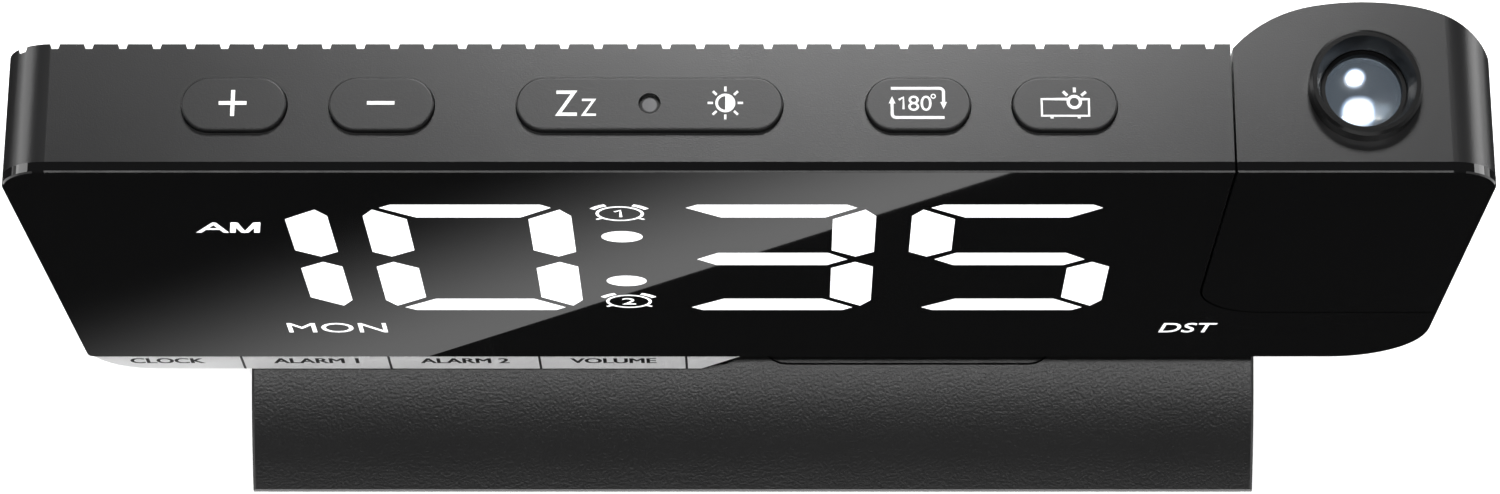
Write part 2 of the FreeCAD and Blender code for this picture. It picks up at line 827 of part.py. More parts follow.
def cutTopCorner(body, front, back):
    cutPrism(body, "TopCorner", "XZ_Plane", front - cutSpare, back + cutSpare, [[
        (rightEnd - topCorner, bodyTop, topCorner, "right"), (rightEnd, bodyTop - topCorner),
        (rightEnd + cutSpare, bodyTop - topCorner), (rightEnd + cutSpare, bodyTop + cutSpare),
        (rightEnd - topCorner, bodyTop + cutSpare)]])


def cutLowerSweep(body):
    outside = -sweepRadius - sweepCorner
    cornerUp = sweepCorner - sweepRadius
    turnForm(body, "LowerSweep", "Groove", "H_Axis", "XZ_Plane", 0, 0, pivotUp, [[
        (headLeft, cornerUp, sweepCorner, "left"), (headLeft + sweepCorner, -sweepRadius),
        (rightEnd + cutSpare, -sweepRadius), (rightEnd + cutSpare, outside),
        (headLeft - cutSpare, outside), (headLeft - cutSpare, cornerUp)]], 180)


def makeHeadHousing():
    body = newBody("head_housing")
    addPrism(body, "Shell", "XY_Plane", pivotUp - sweepRadius, bodyTop, [headPlan(sized(0), panelBack)])
    cutTopCorner(body, panelBack, archBack)
    cutLowerSweep(body)
    cutPrism(body, "Inside", "XY_Plane", headFloor, headDeckUnder - deckStep, [
        headPlan(headWall, panelBack - cutSpare)])
    cutPrism(body, "InsideTop", "XY_Plane", headDeckUnder - deckStep - cutSpare, headDeckUnder, [
        rounded(headLeft + headWall, panelBack - cutSpare,
                rightEnd - topCorner, archBack - archSide / 2, cavityCorner)])
    cutPrism(body, "LensPocket", "XY_Plane", headDeckUnder - deckStep - cutSpare, headDeckUnder, [
        ("circle", lensPlace, lensBack, barrelRadius + barrelGap)])
    addPrism(body, "Hub", "YZ_Plane", hubLeft, headLeft + headWall, [("circle", 0, pivotUp, hubRadius)])
    cutPrism(body, "HubHole", "YZ_Plane", hubLeft - cutSpare, headLeft + headWall + cutSpare, [
        ("circle", 0, pivotUp, hubBore)])
    turnForm(body, "ClipGroove", "Groove", "H_Axis", "XZ_Plane", 0, 0, pivotUp, [
        box(clipLeft - seatGap, hubRadius - clipDeep, clipRight + seatGap, hubRadius + cutSpare)])
    cutPrism(body, "LensBore", "XY_Plane", headDeckUnder - cutSpare, bodyTop, [
        ("circle", lensPlace, lensBack, ringNeck + hubFit)])
    return body


def makeHeadPanel():
    body = newBody("head_panel")
    addPrism(body, "Plate", "XZ_Plane", panelFront, panelBack, [
        [(headLeft, pivotUp - sweepRadius), (rightEnd, pivotUp - sweepRadius),
         (rightEnd, bodyTop - topCorner, topCorner, "left"), (rightEnd - topCorner, bodyTop),
         (headLeft, bodyTop)]])
    softenEdges(body, "Bevel", "Chamfer", panelBevel, lambda edge: liesAt(edge, "y", panelFront))
    cutLowerSweep(body)
    return body


def turnAboutLens(name, outline):
    body = newBody(name)
    turnForm(body, "Turned", "Revolution", "V_Axis", "XZ_Plane", -lensBack, lensPlace, 0, [outline])
    return body


# Focus: the ring turns in the top of the head and drives the keyed tube up and down
ringRadius = 7.2
ringProud = 2.4
ringNeck = 6.1
ringLip = 6.5
ringLipThick = 0.7
ringMouth = 6.3
ringCone = 2.6
ringEdge = 0.35
tubeRadius = 5.4
tubeBore = 4.3
tubeLength = 14
tubeTravel = 0.5
lensRadius = 4.85
lensSeat = 2.2
lensEdge = 1.1
lensRise = 1.1
barrelRadius = 6.8
barrelGap = 0.3
ledgeRadius = 4.6
filmUp = 16.5
filmThick = 0.9
ledgeThick = 4
condenserThick = 2.6
condenserRise = 1.2
sinkRise = 4.5
sinkFin = 0.8
sinkPlate = 1.2
lampBoardThick = 1
lampSize = 2.8
lampThick = 0.8
lampDome = 1.12
enterSizes()
finCount = 5
ringTop = bodyTop + ringProud
ringLow = headDeckUnder - seatGap - ringLipThick
tubeTop = bodyTop - tubeTravel - fitGap
tubeLow = tubeTop - tubeLength
lensLow = tubeTop - lensSeat
barrelTop = ringLow - barrelGap
boardUnder = headFloor + seatGap + sinkRise
lampBoardTop = boardUnder + seatGap + lampBoardThick
barrelLow = lampBoardTop + seatGap
filmLow = headFloor + filmUp
ledgeLow = filmLow - ledgeThick
bore = tubeRadius + hubFit


def makeFocusRing():
    return turnAboutLens("focus_ring", [
        (bore, ringLow), (ringLip, ringLow),
        (ringLip, ringLow + ringLipThick), (ringNeck, ringLow + ringLipThick),
        (ringNeck, bodyTop + seatGap), (ringRadius, bodyTop + seatGap), (ringRadius, ringTop - ringEdge),
        (ringRadius - ringEdge, ringTop), (ringMouth, ringTop), (bore, ringTop - ringCone)])


def makeLensTube():
    return turnAboutLens("lens_tube", [
        (tubeBore, tubeLow), (tubeRadius, tubeLow), (tubeRadius, tubeTop), (lensRadius + hubFit, tubeTop),
        (lensRadius + hubFit, lensLow), (tubeBore, lensLow)])


def makeLens():
    dome = (square(lensRadius) + square(lensRise)) / (lensRise * 2)
    low = lensLow + seatGap
    return turnAboutLens("projection_lens", [
        (0, low), (lensRadius, low), (lensRadius, low + lensEdge, dome, "left"),
        (0, low + lensEdge + lensRise)])


def makeBarrel():
    return turnAboutLens("projector_barrel", [
        (bore, barrelLow), (barrelRadius, barrelLow), (barrelRadius, barrelTop), (bore, barrelTop),
        (bore, filmLow), (ledgeRadius, filmLow), (ledgeRadius, ledgeLow), (bore, ledgeLow)])


def makeTimeFilm():
    return turnAboutLens("time_film", [
        (0, filmLow + seatGap), (tubeRadius, filmLow + seatGap),
        (tubeRadius, filmLow + seatGap + filmThick), (0, filmLow + seatGap + filmThick)])


def makeCondenser():
    top = ledgeLow - seatGap
    dome = (square(tubeRadius) + square(condenserRise)) / (condenserRise * 2)
    return turnAboutLens("condenser_lens", [
        (0, top - condenserThick, dome, "left"), (tubeRadius, top - condenserThick + condenserRise),
        (tubeRadius, top), (0, top)])


def makeHeatSink():
    body = newBody("lamp_heat_sink")
    low = headFloor + seatGap
    half = barrelRadius
    deep = half / 2
    addPrism(body, "Plate", "XY_Plane", boardUnder - sinkPlate, boardUnder, [
        ("circle", lensPlace, lensBack, half)])
    addPrism(body, "Foot", "XY_Plane", low, low + sinkPlate, [
        rounded(lensPlace - half, lensBack - deep, lensPlace + half, lensBack + deep, cavityCorner)])
    step = half * 2 / finCount
    fins = [lensPlace - half + step * (index + 0.5) for index in range(finCount)]
    addPrism(body, "Fins", "XY_Plane", low, boardUnder - sinkPlate / 2, [
        box(fin - sinkFin / 2, lensBack - deep, fin + sinkFin / 2, lensBack + deep) for fin in fins])
    return body


def makeLampBoard():
    body = newBody("lamp_board")
    addPrism(body, "Board", "XY_Plane", boardUnder + seatGap, lampBoardTop, [
        ("circle", lensPlace, lensBack, barrelRadius)])
    return body


def makeLamp():
    body = newBody("projector_lamp")
    half = lampSize / 2
    low = lampBoardTop + seatGap
    addPrism(body, "Case", "XY_Plane", low, low + lampThick, [
        box(lensPlace - half, lensBack - half, lensPlace + half, lensBack + half)])
    addPrism(body, "Dome", "XY_Plane", low + lampThick, low + lampThick * 2, [
        ("circle", lensPlace, lensBack, lampDome)])
    return body


# Pivot: friction washer, spring washer and retaining clip round the trunnion
def makeRing(name, left, right, inner, outer):
    body = newBody(name)
    addPrism(body, "Ring", "YZ_Plane", left, right, [
        ("circle", 0, pivotUp, outer), ("circle", 0, pivotUp, inner)])
    return body


def makePivotClip():
    inner = hubRadius - clipDeep + seatGap
    body = makeRing("pivot_clip", clipLeft, clipRight, inner, hubRadius + clipReach)
    cutPrism(body, "Mouth", "YZ_Plane", clipLeft - cutSpare, clipRight + cutSpare, [
        box(-clipMouth / 2, pivotUp, clipMouth / 2, pivotUp + hubRadius * 2)])
    return body


# Buttons on the deck: a cap through its opening, held by a flange under the deck
def makeButton(name, place, length):
    body = newBody(name)
    addPrism(body, "Cap", "XY_Plane", buttonUnder, buttonTop, [
        pill(place, buttonRow, length, buttonWidth)])
    softenEdges(body, "Edge", "Fillet", buttonEdge, lambda edge: liesAt(edge, "z", buttonTop))
    addPrism(body, "Flange", "XY_Plane", buttonUnder, flangeTop, [
        pill(place, buttonRow, length + buttonFlange * 2, buttonWidth + buttonFlange * 2)])
    if length is snoozeLength:
        cutPrism(body, "SensorHole", "XY_Plane", buttonUnder, buttonTop, [
            ("circle", place, buttonRow, sensorRadius)])
    return body


def makeSensorWindow():
    body = newBody("light_sensor_window")
    top = buttonTop - sensorSink
    addPrism(body, "Disc", "XY_Plane", top - windowThick, top, [
        ("circle", snoozePlace, buttonRow, sensorRadius - seatGap)])
    return body


# Boards, switches and parts behind the display
deckBoardDrop = 7.8
deckBoardHalf = 4.6
deckBoardLeft = -74
deckBoardRight = 49
deckPostRadius = 1.4
pilotRadius = 0.8
deckPostOne = -55.8
deckPostTwo = -34.6
deckPostThree = 9.5
deckPostFour = 30.7
switchSize = 4.2
switchThick = 1.6
plungerRadius = 1
snoozeSwitchOut = 9
sensorSize = 1.8
sensorThick = 1.1
keyBoardGap = 2.6
keyBoardHigh = 4.6
keyBoardLow = 4.6
keyBoardMargin = 2
mainBoardLeft = -30
mainBoardRight = 46
mainBoardLowRise = 14
mainBoardHighRise = 63
headerLength = 20
headerHeight = 3
headerGap = 1.5
chipSize = 9
chipThick = 1.4
chipPlace = 13.5
cellRadius = 10
cellThick = 3.2
holderWall = 1.1
holderFloor = 0.8
holderRise = 2.24
ledWidth = 1.8
ledHeight = 1
ledThick = 0.7
enterSizes()
deckPosts = [deckPostOne, deckPostTwo, deckPostThree, deckPostFour]
deckBoardTop = bodyTop - deckBoardDrop + boardThick
deckBoardLow = deckBoardTop - boardThick
keyFlangeBack = innerBack - seatGap
keyFlangeFront = keyFlangeBack - flangeThick
keyBoardBack = keyFlangeFront - keyBoardGap
keyBoardFront = keyBoardBack - boardThick
mainBoardFront = displayBoardBack + headerGap
mainBoardBack = mainBoardFront + boardThick
mainBoardLow = bodyFloor + mainBoardLowRise
mainBoardHigh = bodyFloor + mainBoardHighRise


def makeKey(name, place):
    body = newBody(name)
    tip = recessFace + keyProud
    addPrism(body, "Cap", "XZ_Plane", keyFlangeFront, tip, [
        rounded(place - keyLength / 2, keyUp - keyHeight / 2,
                place + keyLength / 2, keyUp + keyHeight / 2, keyCorner)])
    softenEdges(body, "Edge", "Fillet", buttonEdge, lambda edge: liesAt(edge, "y", tip))
    addPrism(body, "Flange", "XZ_Plane", keyFlangeFront, keyFlangeBack, [
        rounded(place - keyLength / 2 - keyFlange, keyUp - keyHeight / 2 - keyFlange,
                place + keyLength / 2 + keyFlange, keyUp + keyHeight / 2 + keyFlange, keyCorner)])
    return body


# Display: wells for the segments of four digits, the colon and the small signs, with a
# lamp at the bottom of each well
digitHalfWidth = 13.55
digitHalfHeight = 21.05
digitDrop = 32.9
strokeWide = 5.6
strokeHigh = 4.75
strokeSlant = 4.2
segmentGap = 0.9
segmentCut = 1.3
digitOne = -68.2
digitTwo = -36.6
digitThree = 2.9
digitFour = 34.55
colonPlace = -16.8
colonUpper = 24
colonLower = 41.7
colonRadius = 2.4
signWidth = 10
signHeight = 6
meridiemPlace = -68
meridiemDrop = 20.4
dayPlace = -58.1
dayDrop = 61.8
dayWidth = 15
summerPlace = 61
summerDrop = 61.8
alarmUpper = 15.2
alarmLower = 50.2
tabRight = 69
tabRise = 15.6
enterSizes()
digitUp = bodyTop - digitDrop
digitPlaces = [digitOne, digitTwo, digitThree, digitFour]
colonUps = [bodyTop - colonUpper, bodyTop - colonLower]
signs = [
    (meridiemPlace, bodyTop - meridiemDrop, signWidth),
    (dayPlace, bodyTop - dayDrop, dayWidth),
    (summerPlace, bodyTop - summerDrop, signWidth),
    (colonPlace, bodyTop - alarmUpper, signWidth),
    (colonPlace, bodyTop - alarmLower, signWidth)]
tabHigh = bodyFloor + tabRise


# An upright segment at one side of a digit, its ends cut for the neighbours, and a level one
def uprightSegment(place, side, way):
    outer = place + digitHalfWidth * side
    inner = outer - strokeWide * side
    far = digitUp + (digitHalfHeight - strokeWide / 2 + segmentGap) * way
    near = digitUp + segmentGap * way
    tipIn = outer - segmentCut * side
    return [
        (outer, near + strokeHigh / 2 * way), (outer, far - segmentCut * way), (tipIn, far),
        (inner, far - (strokeHigh - segmentCut) * way), (inner, near + strokeHigh / 2 * way),
        (tipIn - segmentCut * side, near)]


def levelSegment(place, way):
    half = digitHalfWidth - segmentCut * 2
    tip = half - segmentCut
    slant = half - strokeSlant
    middle = digitUp + (digitHalfHeight - strokeHigh / 2) * way
    if way == 0:
        low, high = middle - strokeHigh / 2, middle + strokeHigh / 2
        return [
            (place - tip, middle), (place - slant, low), (place + slant, low),
            (place + tip, middle), (place + slant, high), (place - slant, high)]
    outer = middle + strokeHigh / 2 * way
    inner = middle - strokeHigh / 2 * way
    shoulder = outer - segmentCut * way
    return [
        (place - half, shoulder), (place - tip, outer), (place + tip, outer),
        (place + half, shoulder), (place + slant, inner), (place - slant, inner)]


def digitSegments(place, isFirst):
    segments = [uprightSegment(place, 1, 1), uprightSegment(place, 1, -1)]
    if isFirst:
        return segments
    segments += [uprightSegment(place, -1, 1), uprightSegment(place, -1, -1)]
    return segments + [levelSegment(place, way) for way in (1, 0, -1)]


def middleOf(outline):
    across = [corner[0] for corner in outline]
    ups = [corner[1] for corner in outline]
    lows, highs = min(across, key=lambda item: item.value), max(across, key=lambda item: item.value)
    bottoms, tops = min(ups, key=lambda item: item.value), max(ups, key=lambda item: item.value)
    return (lows + highs) / 2, (bottoms + tops) / 2


segmentOutlines = []
for index, place in enumerate(digitPlaces):
    segmentOutlines += digitSegments(place, index == 0)


def displayOutline():
    return [
        (displayLeft, displayLow), (tabRight, displayLow), (tabRight, tabHigh),
        (displayRight, tabHigh), (displayRight, displayHigh), (displayLeft, displayHigh)]


def makeReflector():
    body = newBody("display_reflector")
    addPrism(body, "Block", "XZ_Plane", displayFront, displayBack, [displayOutline()])
    for index, outline in enumerate(segmentOutlines):
        cutPrism(body, "Segment" + str(index + 1), "XZ_Plane", displayFront, displayBack, [outline])
    cutPrism(body, "ColonWells", "XZ_Plane", displayFront, displayBack, [
        ("circle", colonPlace, up, colonRadius) for up in colonUps])
    cutPrism(body, "SignWells", "XZ_Plane", displayFront, displayBack, [
        box(place - width / 2, up - signHeight / 2, place + width / 2, up + signHeight / 2)
        for place, up, width in signs])
    cutPrism(body, "ScrewHoles", "XZ_Plane", displayFront, displayBack,
             spots(displayPosts, screwRadius + fitGap))
    cutPrism(body, "ScrewSinks", "XZ_Plane", displayFront, displayFront + headThick + seatGap,
             spots(displayPosts, screwHead + fitGap))
    return body


def makeDisplayBoard():
    body = newBody("display_board")
    addPrism(body, "Board", "XZ_Plane", displayBoardFront, displayBoardBack, [displayOutline()])
    cutPrism(body, "ScrewHoles", "XZ_Plane", displayBoardFront, displayBoardBack,
             spots(displayPosts, screwRadius + fitGap))
    return body


# Several equal small solids that share one node
def makeGroup(name, shapes):
    node = doc.addObject("Part::Feature", name)
    node.Label = name
    node.Shape = Part.makeCompound(shapes)
    nodes.append(node)
    return node


def block(left, front, low, wide, deep, high):
    where = FreeCAD.Vector(left.value, front.value, low.value)
    return Part.makeBox(wide.value, deep.value, high.value, where)


def makeLeds():
    places = [middleOf(outline) for outline in segmentOutlines]
    places += [(colonPlace, up) for up in colonUps]
    places += [(place, up) for place, up, width in signs]
    front = displayBoardFront - seatGap - ledThick
    return makeGroup("display_leds", [
        block(place - ledWidth / 2, front, up - ledHeight / 2, ledWidth, ledThick, ledHeight)
        for place, up in places])


# A push switch with its plunger, pointing up or back
def pushSwitch(place, back, up, plunger, direction):
    half = switchSize / 2
    if direction.z:
        base = block(place - half, back - half, up, switchSize, switchSize, switchThick)
    else:
        base = block(place - half, back, up - half, switchSize, switchThick, switchSize)
    where = FreeCAD.Vector(place.value, back.value, up.value) + direction * switchThick.value
    pin = Part.makeCylinder(plungerRadius.value, plunger.value, where, direction)
    return base.fuse(pin).removeSplitter()


def makeDeckBoard():
    body = newBody("deck_key_board")
    addPrism(body, "Board", "XY_Plane", deckBoardLow, deckBoardTop, [
        rounded(deckBoardLeft, -deckBoardHalf, deckBoardRight, deckBoardHalf, keyCorner)])
    cutPrism(body, "ScrewHoles", "XY_Plane", deckBoardLow, deckBoardTop,
             spots([(place, 0) for place in deckPosts], pilotRadius))
    return body


def makeDeckSwitches():
    places = []
    for name, place, length in buttons:
        if length is snoozeLength:
            places += [place - snoozeSwitchOut, place + snoozeSwitchOut]
        else:
            places.append(place)
    low = deckBoardTop + seatGap
    plunger = buttonUnder - buttonTravel - fitGap - low - switchThick
    return makeGroup("deck_switches", [
        pushSwitch(place, buttonRow, low, plunger, FreeCAD.Vector(0, 0, 1)) for place in places])


def makeLightSensor():
    body = newBody("light_sensor")
    low = deckBoardTop + seatGap
    place, half = snoozePlace, sensorSize / 2
    addPrism(body, "Case", "XY_Plane", low, low + sensorThick, [
        box(place - half, buttonRow - half, place + half, buttonRow + half)])
    return body


def makeKeyBoard():
    body = newBody("rear_key_board")
    addPrism(body, "Board", "XZ_Plane", keyBoardFront, keyBoardBack, [
        box(keyPlaces[0] - keyLength / 2 - keyBoardMargin / 2, keyUp - keyBoardLow,
            keyPlaces[-1] + keyLength / 2 + keyBoardMargin, keyUp + keyBoardHigh)])
    notchHalf = bossRadius + fitGap
    cutPrism(body, "BossNotch", "XZ_Plane", keyBoardFront, keyBoardBack, [
        box(-neckPlace - notchHalf, keyUp - keyBoardLow,
            notchHalf - neckPlace, innerFloor + bossRise + fitGap)])
    return body


def makeRearSwitches():
    back = keyBoardBack + seatGap
    plunger = keyFlangeFront - buttonTravel - fitGap - back - switchThick
    return makeGroup("rear_switches", [
        pushSwitch(place, back, keyUp, plunger, FreeCAD.Vector(0, 1, 0)) for place in keyPlaces])


def makeMainBoard():
    body = newBody("main_board")
    addPrism(body, "Board", "XZ_Plane", mainBoardFront, mainBoardBack, [
        rounded(mainBoardLeft, mainBoardLow, mainBoardRight, mainBoardHigh, keyCorner)])
    return body


def makeHeader():
    body = newBody("board_header")
    middle = (mainBoardLeft + mainBoardRight) / 2
    addPrism(body, "Strip", "XZ_Plane", displayBoardBack + seatGap, mainBoardFront - seatGap, [
        box(middle - headerLength / 2, mainBoardLow + headerHeight, middle + headerLength / 2,
            mainBoardLow + headerHeight * 2)])
    return body


def makeClockChip():
    body = newBody("clock_chip")
    place = mainBoardLeft + chipPlace
    up = (mainBoardLow + mainBoardHigh) / 2
    low = mainBoardBack + seatGap
    addPrism(body, "Case", "XZ_Plane", low, low + chipThick, [
        box(place - chipSize / 2, up - chipSize / 2, place + chipSize / 2, up + chipSize / 2)])
    softenEdges(body, "Edge", "Chamfer", buttonEdge, lambda edge: liesAt(edge, "y", low + chipThick))
    return body


doorOuter = housingBack - doorSink
doorInner = doorOuter - doorThick
holderFront = mainBoardBack + seatGap


def makeCellHolder():
    body = newBody("backup_cell_holder")
    outer = cellRadius + holderWall + fitGap
    floor = holderFront + holderFloor
    addPrism(body, "Cup", "XZ_Plane", holderFront, floor + holderRise, [
        ("circle", doorPlace, doorUp, outer)])
    cutPrism(body, "Pocket", "XZ_Plane", floor, floor + cellThick, [
        ("circle", doorPlace, doorUp, cellRadius + fitGap)])
    return body


def makeBackupCell():
    body = newBody("backup_cell")
    low = holderFront + holderFloor + seatGap
    addPrism(body, "Can", "XZ_Plane", low, low + cellThick, [("circle", doorPlace, doorUp, cellRadius)])
    softenEdges(body, "Edge", "Fillet", buttonEdge, lambda edge: liesAt(edge, "y", low + cellThick))
    return body


def makeDoor():
    body = newBody("backup_cell_door")
    addPrism(body, "Disc", "XZ_Plane", doorInner, doorOuter, [("circle", doorPlace, doorUp, doorRadius)])
    softenEdges(body, "Edge", "Chamfer", buttonEdge, lambda edge: liesAt(edge, "y", doorOuter))
    cutPrism(body, "CoinSlot", "XZ_Plane", doorOuter - doorThick / 2, doorOuter, [
        pill(doorPlace, doorUp, doorRadius, coinSlot)])
    return body


def makeSpeaker():
    body = newBody("speaker")
    back = innerBack - seatGap
    addPrism(body, "Rim", "XZ_Plane", back - speakerRim, back, [
        ("circle", speakerPlace, speakerUp, speakerRadius)])
    addPrism(body, "Magnet", "XZ_Plane", back - speakerThick, back - coneDeep * 2, [
        ("circle", speakerPlace, speakerUp, magnetRadius)])
    cutPrism(body, "Cone", "XZ_Plane", back - coneDeep, back, [
        ("circle", speakerPlace, speakerUp, coneRadius)])
    return body


def makePortBoard():
    body = newBody("socket_board")
    low = innerFloor + seatGap
    addPrism(body, "Board", "XY_Plane", low, portBoardTop, [
        box(powerPlace - powerWidth / 2 - boardThick, recessFace - outputDepth - socketGap,
            outputPlace + outputWidth / 2 + socketGap, innerBack - seatGap)])
    return body


def makePowerInlet():
    body = newBody("power_inlet")
    half = powerWidth / 2
    back = recessFace - socketGap
    front = back - powerDepth
    tongue = powerHeight / 6
    tongueHalf = half - socketCorner
    middle = powerFloor + powerHeight / 2
    addPrism(body, "Case", "XZ_Plane", front, back, [
        rounded(powerPlace - half, powerFloor, powerPlace + half, powerFloor + powerHeight, socketCorner)])
    cutPrism(body, "Mouth", "XZ_Plane", front + socketWall * 2, back, [
        rounded(powerPlace - half + socketWall, powerFloor + socketWall,
                powerPlace + half - socketWall, powerFloor + powerHeight - socketWall,
                socketCorner - socketWall)])
    addPrism(body, "Tongue", "XZ_Plane", front + socketWall, back - socketCorner, [
        box(powerPlace - tongueHalf, middle - tongue, powerPlace + tongueHalf, middle + tongue)])
    return body


def makeUsbOutput():
    body = newBody("usb_output")
    half = outputWidth / 2
    back = recessFace - socketGap
    front = back - outputDepth
    addPrism(body, "Case", "XZ_Plane", front, back, [
        box(outputPlace - half, outputFloor, outputPlace + half, outputFloor + outputHeight)])
    cutPrism(body, "Mouth", "XZ_Plane", front + socketWall * 2, back, [
        box(outputPlace - half + socketWall, outputFloor + socketWall,
            outputPlace + half - socketWall, outputFloor + outputHeight - socketWall)])
    tongueHalf = half - socketCorner
    addPrism(body, "Tongue", "XZ_Plane", front + socketWall, back - socketCorner, [
        box(outputPlace - tongueHalf, outputFloor + tongueLow,
            outputPlace + tongueHalf, outputFloor + tongueHigh)])
    return body


# Screws through the display block into the posts, heads to the front
def makeDisplayScrews():
    parts = []
    front = displayFront + seatGap
    backward = FreeCAD.Vector(0, 1, 0)
    for place, up in displayPosts:
        where = FreeCAD.Vector(place.value, front.value, up.value)
        head = Part.makeCylinder(screwHead.value, headThick.value, where, backward)
        length = displayBoardBack.value - front.value + wall.value
        shank = Part.makeCylinder((screwRadius - seatGap).value, length, where, backward)
        parts.append(head.fuse(shank).removeSplitter())
    return makeGroup("display_screws", parts)


makeHousing()
makeFrontPanel()
makeLabelStrip()
makeHeadHousing()
makeHeadPanel()
makeFocusRing()
makeLensTube()
makeLens()
makeBarrel()
makeTimeFilm()
makeCondenser()
makeLamp()
makeLampBoard()
makeHeatSink()
makeRing("pivot_friction_washer", washerLeft, washerLeft + washerThick,
         hubRadius + fitGap, washerRadius - fitGap)
makeRing("pivot_spring_washer", springLeft, springLeft + springThick,
         hubRadius + fitGap, hubRadius + clipReach)
makePivotClip()
for name, place, length in buttons:
    makeButton(name, place, length)
makeSensorWindow()
for index, place in enumerate(keyPlaces):
    makeKey("rear_key_" + str(index + 1), place)
makeReflector()
makeDisplayBoard()
makeLeds()
makeDisplayScrews()
makeDeckBoard()
makeDeckSwitches()
makeLightSensor()
makeKeyBoard()
makeRearSwitches()
makeMainBoard()
makeHeader()
makeClockChip()
makeCellHolder()
makeBackupCell()
makeDoor()
makeSpeaker()
makePortBoard()
makePowerInlet()
makeUsbOutput()
makeNeck("neck_left", neckPlaces[0])
makeNeck("neck_right", neckPlaces[1])
makeScrews("neck_screws", [(place, sized(0)) for place in neckPlaces],
           standFloor + neckScrewSink - headThick - seatGap, innerFloor + bossRise - wall - seatGap)
makeStandShell()
makeStandPlate()
makeStandWeight()
makeStandFeet()
makeScrews("stand_screws", standScrews, standFloor + seatGap / 2, bossTop - standWall / 2 - seatGap)

# Every object and every shape is checked before anything is written
doc.recompute()
failed = [item.Name for item in doc.Objects if "Invalid" in item.State or "Error" in item.State]
if failed:
    raise RuntimeError("failed: " + ", ".join(failed))
os.makedirs("parts", exist_ok=True)
for node in nodes:
    if node.Shape.isNull() or not node.Shape.isValid():
        raise RuntimeError(node.Label + " has no valid shape")
for node in nodes:
    node.Shape.exportStep("parts/" + node.Label + ".step")
print(len(nodes), "pieces written")
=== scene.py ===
import math
import bpy
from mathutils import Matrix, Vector


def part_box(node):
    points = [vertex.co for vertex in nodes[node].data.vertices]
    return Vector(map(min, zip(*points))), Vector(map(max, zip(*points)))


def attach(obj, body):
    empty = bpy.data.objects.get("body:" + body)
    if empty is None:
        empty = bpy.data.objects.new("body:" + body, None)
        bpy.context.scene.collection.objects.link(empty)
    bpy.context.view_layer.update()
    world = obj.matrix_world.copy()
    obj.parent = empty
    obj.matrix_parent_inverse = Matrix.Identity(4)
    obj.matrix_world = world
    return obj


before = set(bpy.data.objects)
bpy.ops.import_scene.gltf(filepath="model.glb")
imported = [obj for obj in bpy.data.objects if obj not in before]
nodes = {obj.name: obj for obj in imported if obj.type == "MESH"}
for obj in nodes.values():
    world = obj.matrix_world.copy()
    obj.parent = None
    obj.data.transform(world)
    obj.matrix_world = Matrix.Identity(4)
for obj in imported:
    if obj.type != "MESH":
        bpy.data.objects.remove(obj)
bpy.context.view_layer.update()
mm = 0.001
print("frame loaded:", len(nodes), "nodes")

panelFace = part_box("front_panel")[0].y
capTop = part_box("button_plus")[1].z
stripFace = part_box("label_strip")[0].y
bodyFloor, bodyTop = (corner.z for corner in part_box("housing"))
roundSides = {"disc": 40, "ring": 72}
letterSize = 0.01  # before a word is scaled to its place
nearly = {"level": 1e-9, "cut": 1e-7}  # an edge that is level or upright, and a cut through a corner


# Selecting and finishing, as by hand
def deselectAll():
    for item in list(bpy.context.selected_objects):
        item.select_set(False)


def pick(piece):
    deselectAll()
    piece.select_set(True)
    bpy.context.view_layer.objects.active = piece


def applyPlace(piece):
    pick(piece)
    bpy.ops.object.transform_apply(location=True, rotation=True, scale=True)


def applyModifiers(piece):
    pick(piece)
    for modifier in list(piece.modifiers):
        bpy.ops.object.modifier_apply(modifier=modifier.name)


def joinPieces(pieces, name):
    deselectAll()
    for piece in pieces:
        piece.select_set(True)
    bpy.context.view_layer.objects.active = pieces[0]
    if len(pieces) > 1:
        bpy.ops.object.join()
    pieces[0].name = name
    pieces[0].data.name = name
    return pieces[0]


def thicken(piece, thick):
    solid = piece.modifiers.new("Thickness", "SOLIDIFY")
    solid.thickness = thick
    solid.offset = -1
    applyModifiers(piece)


def finishPiece(piece, material, body):
    piece.data.materials.clear()
    piece.data.materials.append(material)
    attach(piece, body)


# Flat plates are drawn face up, and stood on the front when they belong there
def squarePlate(x, y, wide, high):
    deselectAll()
    bpy.ops.mesh.primitive_plane_add(size=1, location=(x, y, 0))
    plate = bpy.context.object
    plate.scale = (wide, high, 1)
    applyPlace(plate)
    return plate


def cutPlate(corners):
    lows = [min(corner[axis] for corner in corners) for axis in (0, 1)]
    highs = [max(corner[axis] for corner in corners) for axis in (0, 1)]
    wide, high = highs[0] - lows[0], highs[1] - lows[1]
    plate = squarePlate(lows[0] + wide / 2, lows[1] + high / 2, wide, high)
    middle = Vector([sum(corner[axis] for corner in corners) / len(corners) for axis in (0, 1)])
    bpy.ops.object.mode_set(mode="EDIT")
    for index, start in enumerate(corners):
        stop = corners[(index + 1) % len(corners)]
        way = Vector((stop[0] - start[0], stop[1] - start[1]))
        if min(abs(way.x), abs(way.y)) < nearly["level"]:
            continue  # this edge lies on the plate's own side
        normal = Vector((way.y, -way.x)).normalized()
        if normal.dot(middle - Vector(start)) > 0:
            normal.negate()
        bpy.ops.mesh.select_all(action="SELECT")
        bpy.ops.mesh.bisect(
            plane_co=(*start, 0), plane_no=(*normal, 0), clear_outer=True, threshold=nearly["cut"])
    bpy.ops.object.mode_set(mode="OBJECT")
    return plate


def discPlate(x, y, radius):
    deselectAll()
    bpy.ops.mesh.primitive_circle_add(
        vertices=roundSides["disc"], radius=radius, fill_type="NGON", location=(x, y, 0))
    disc = bpy.context.object
    applyPlace(disc)
    return disc


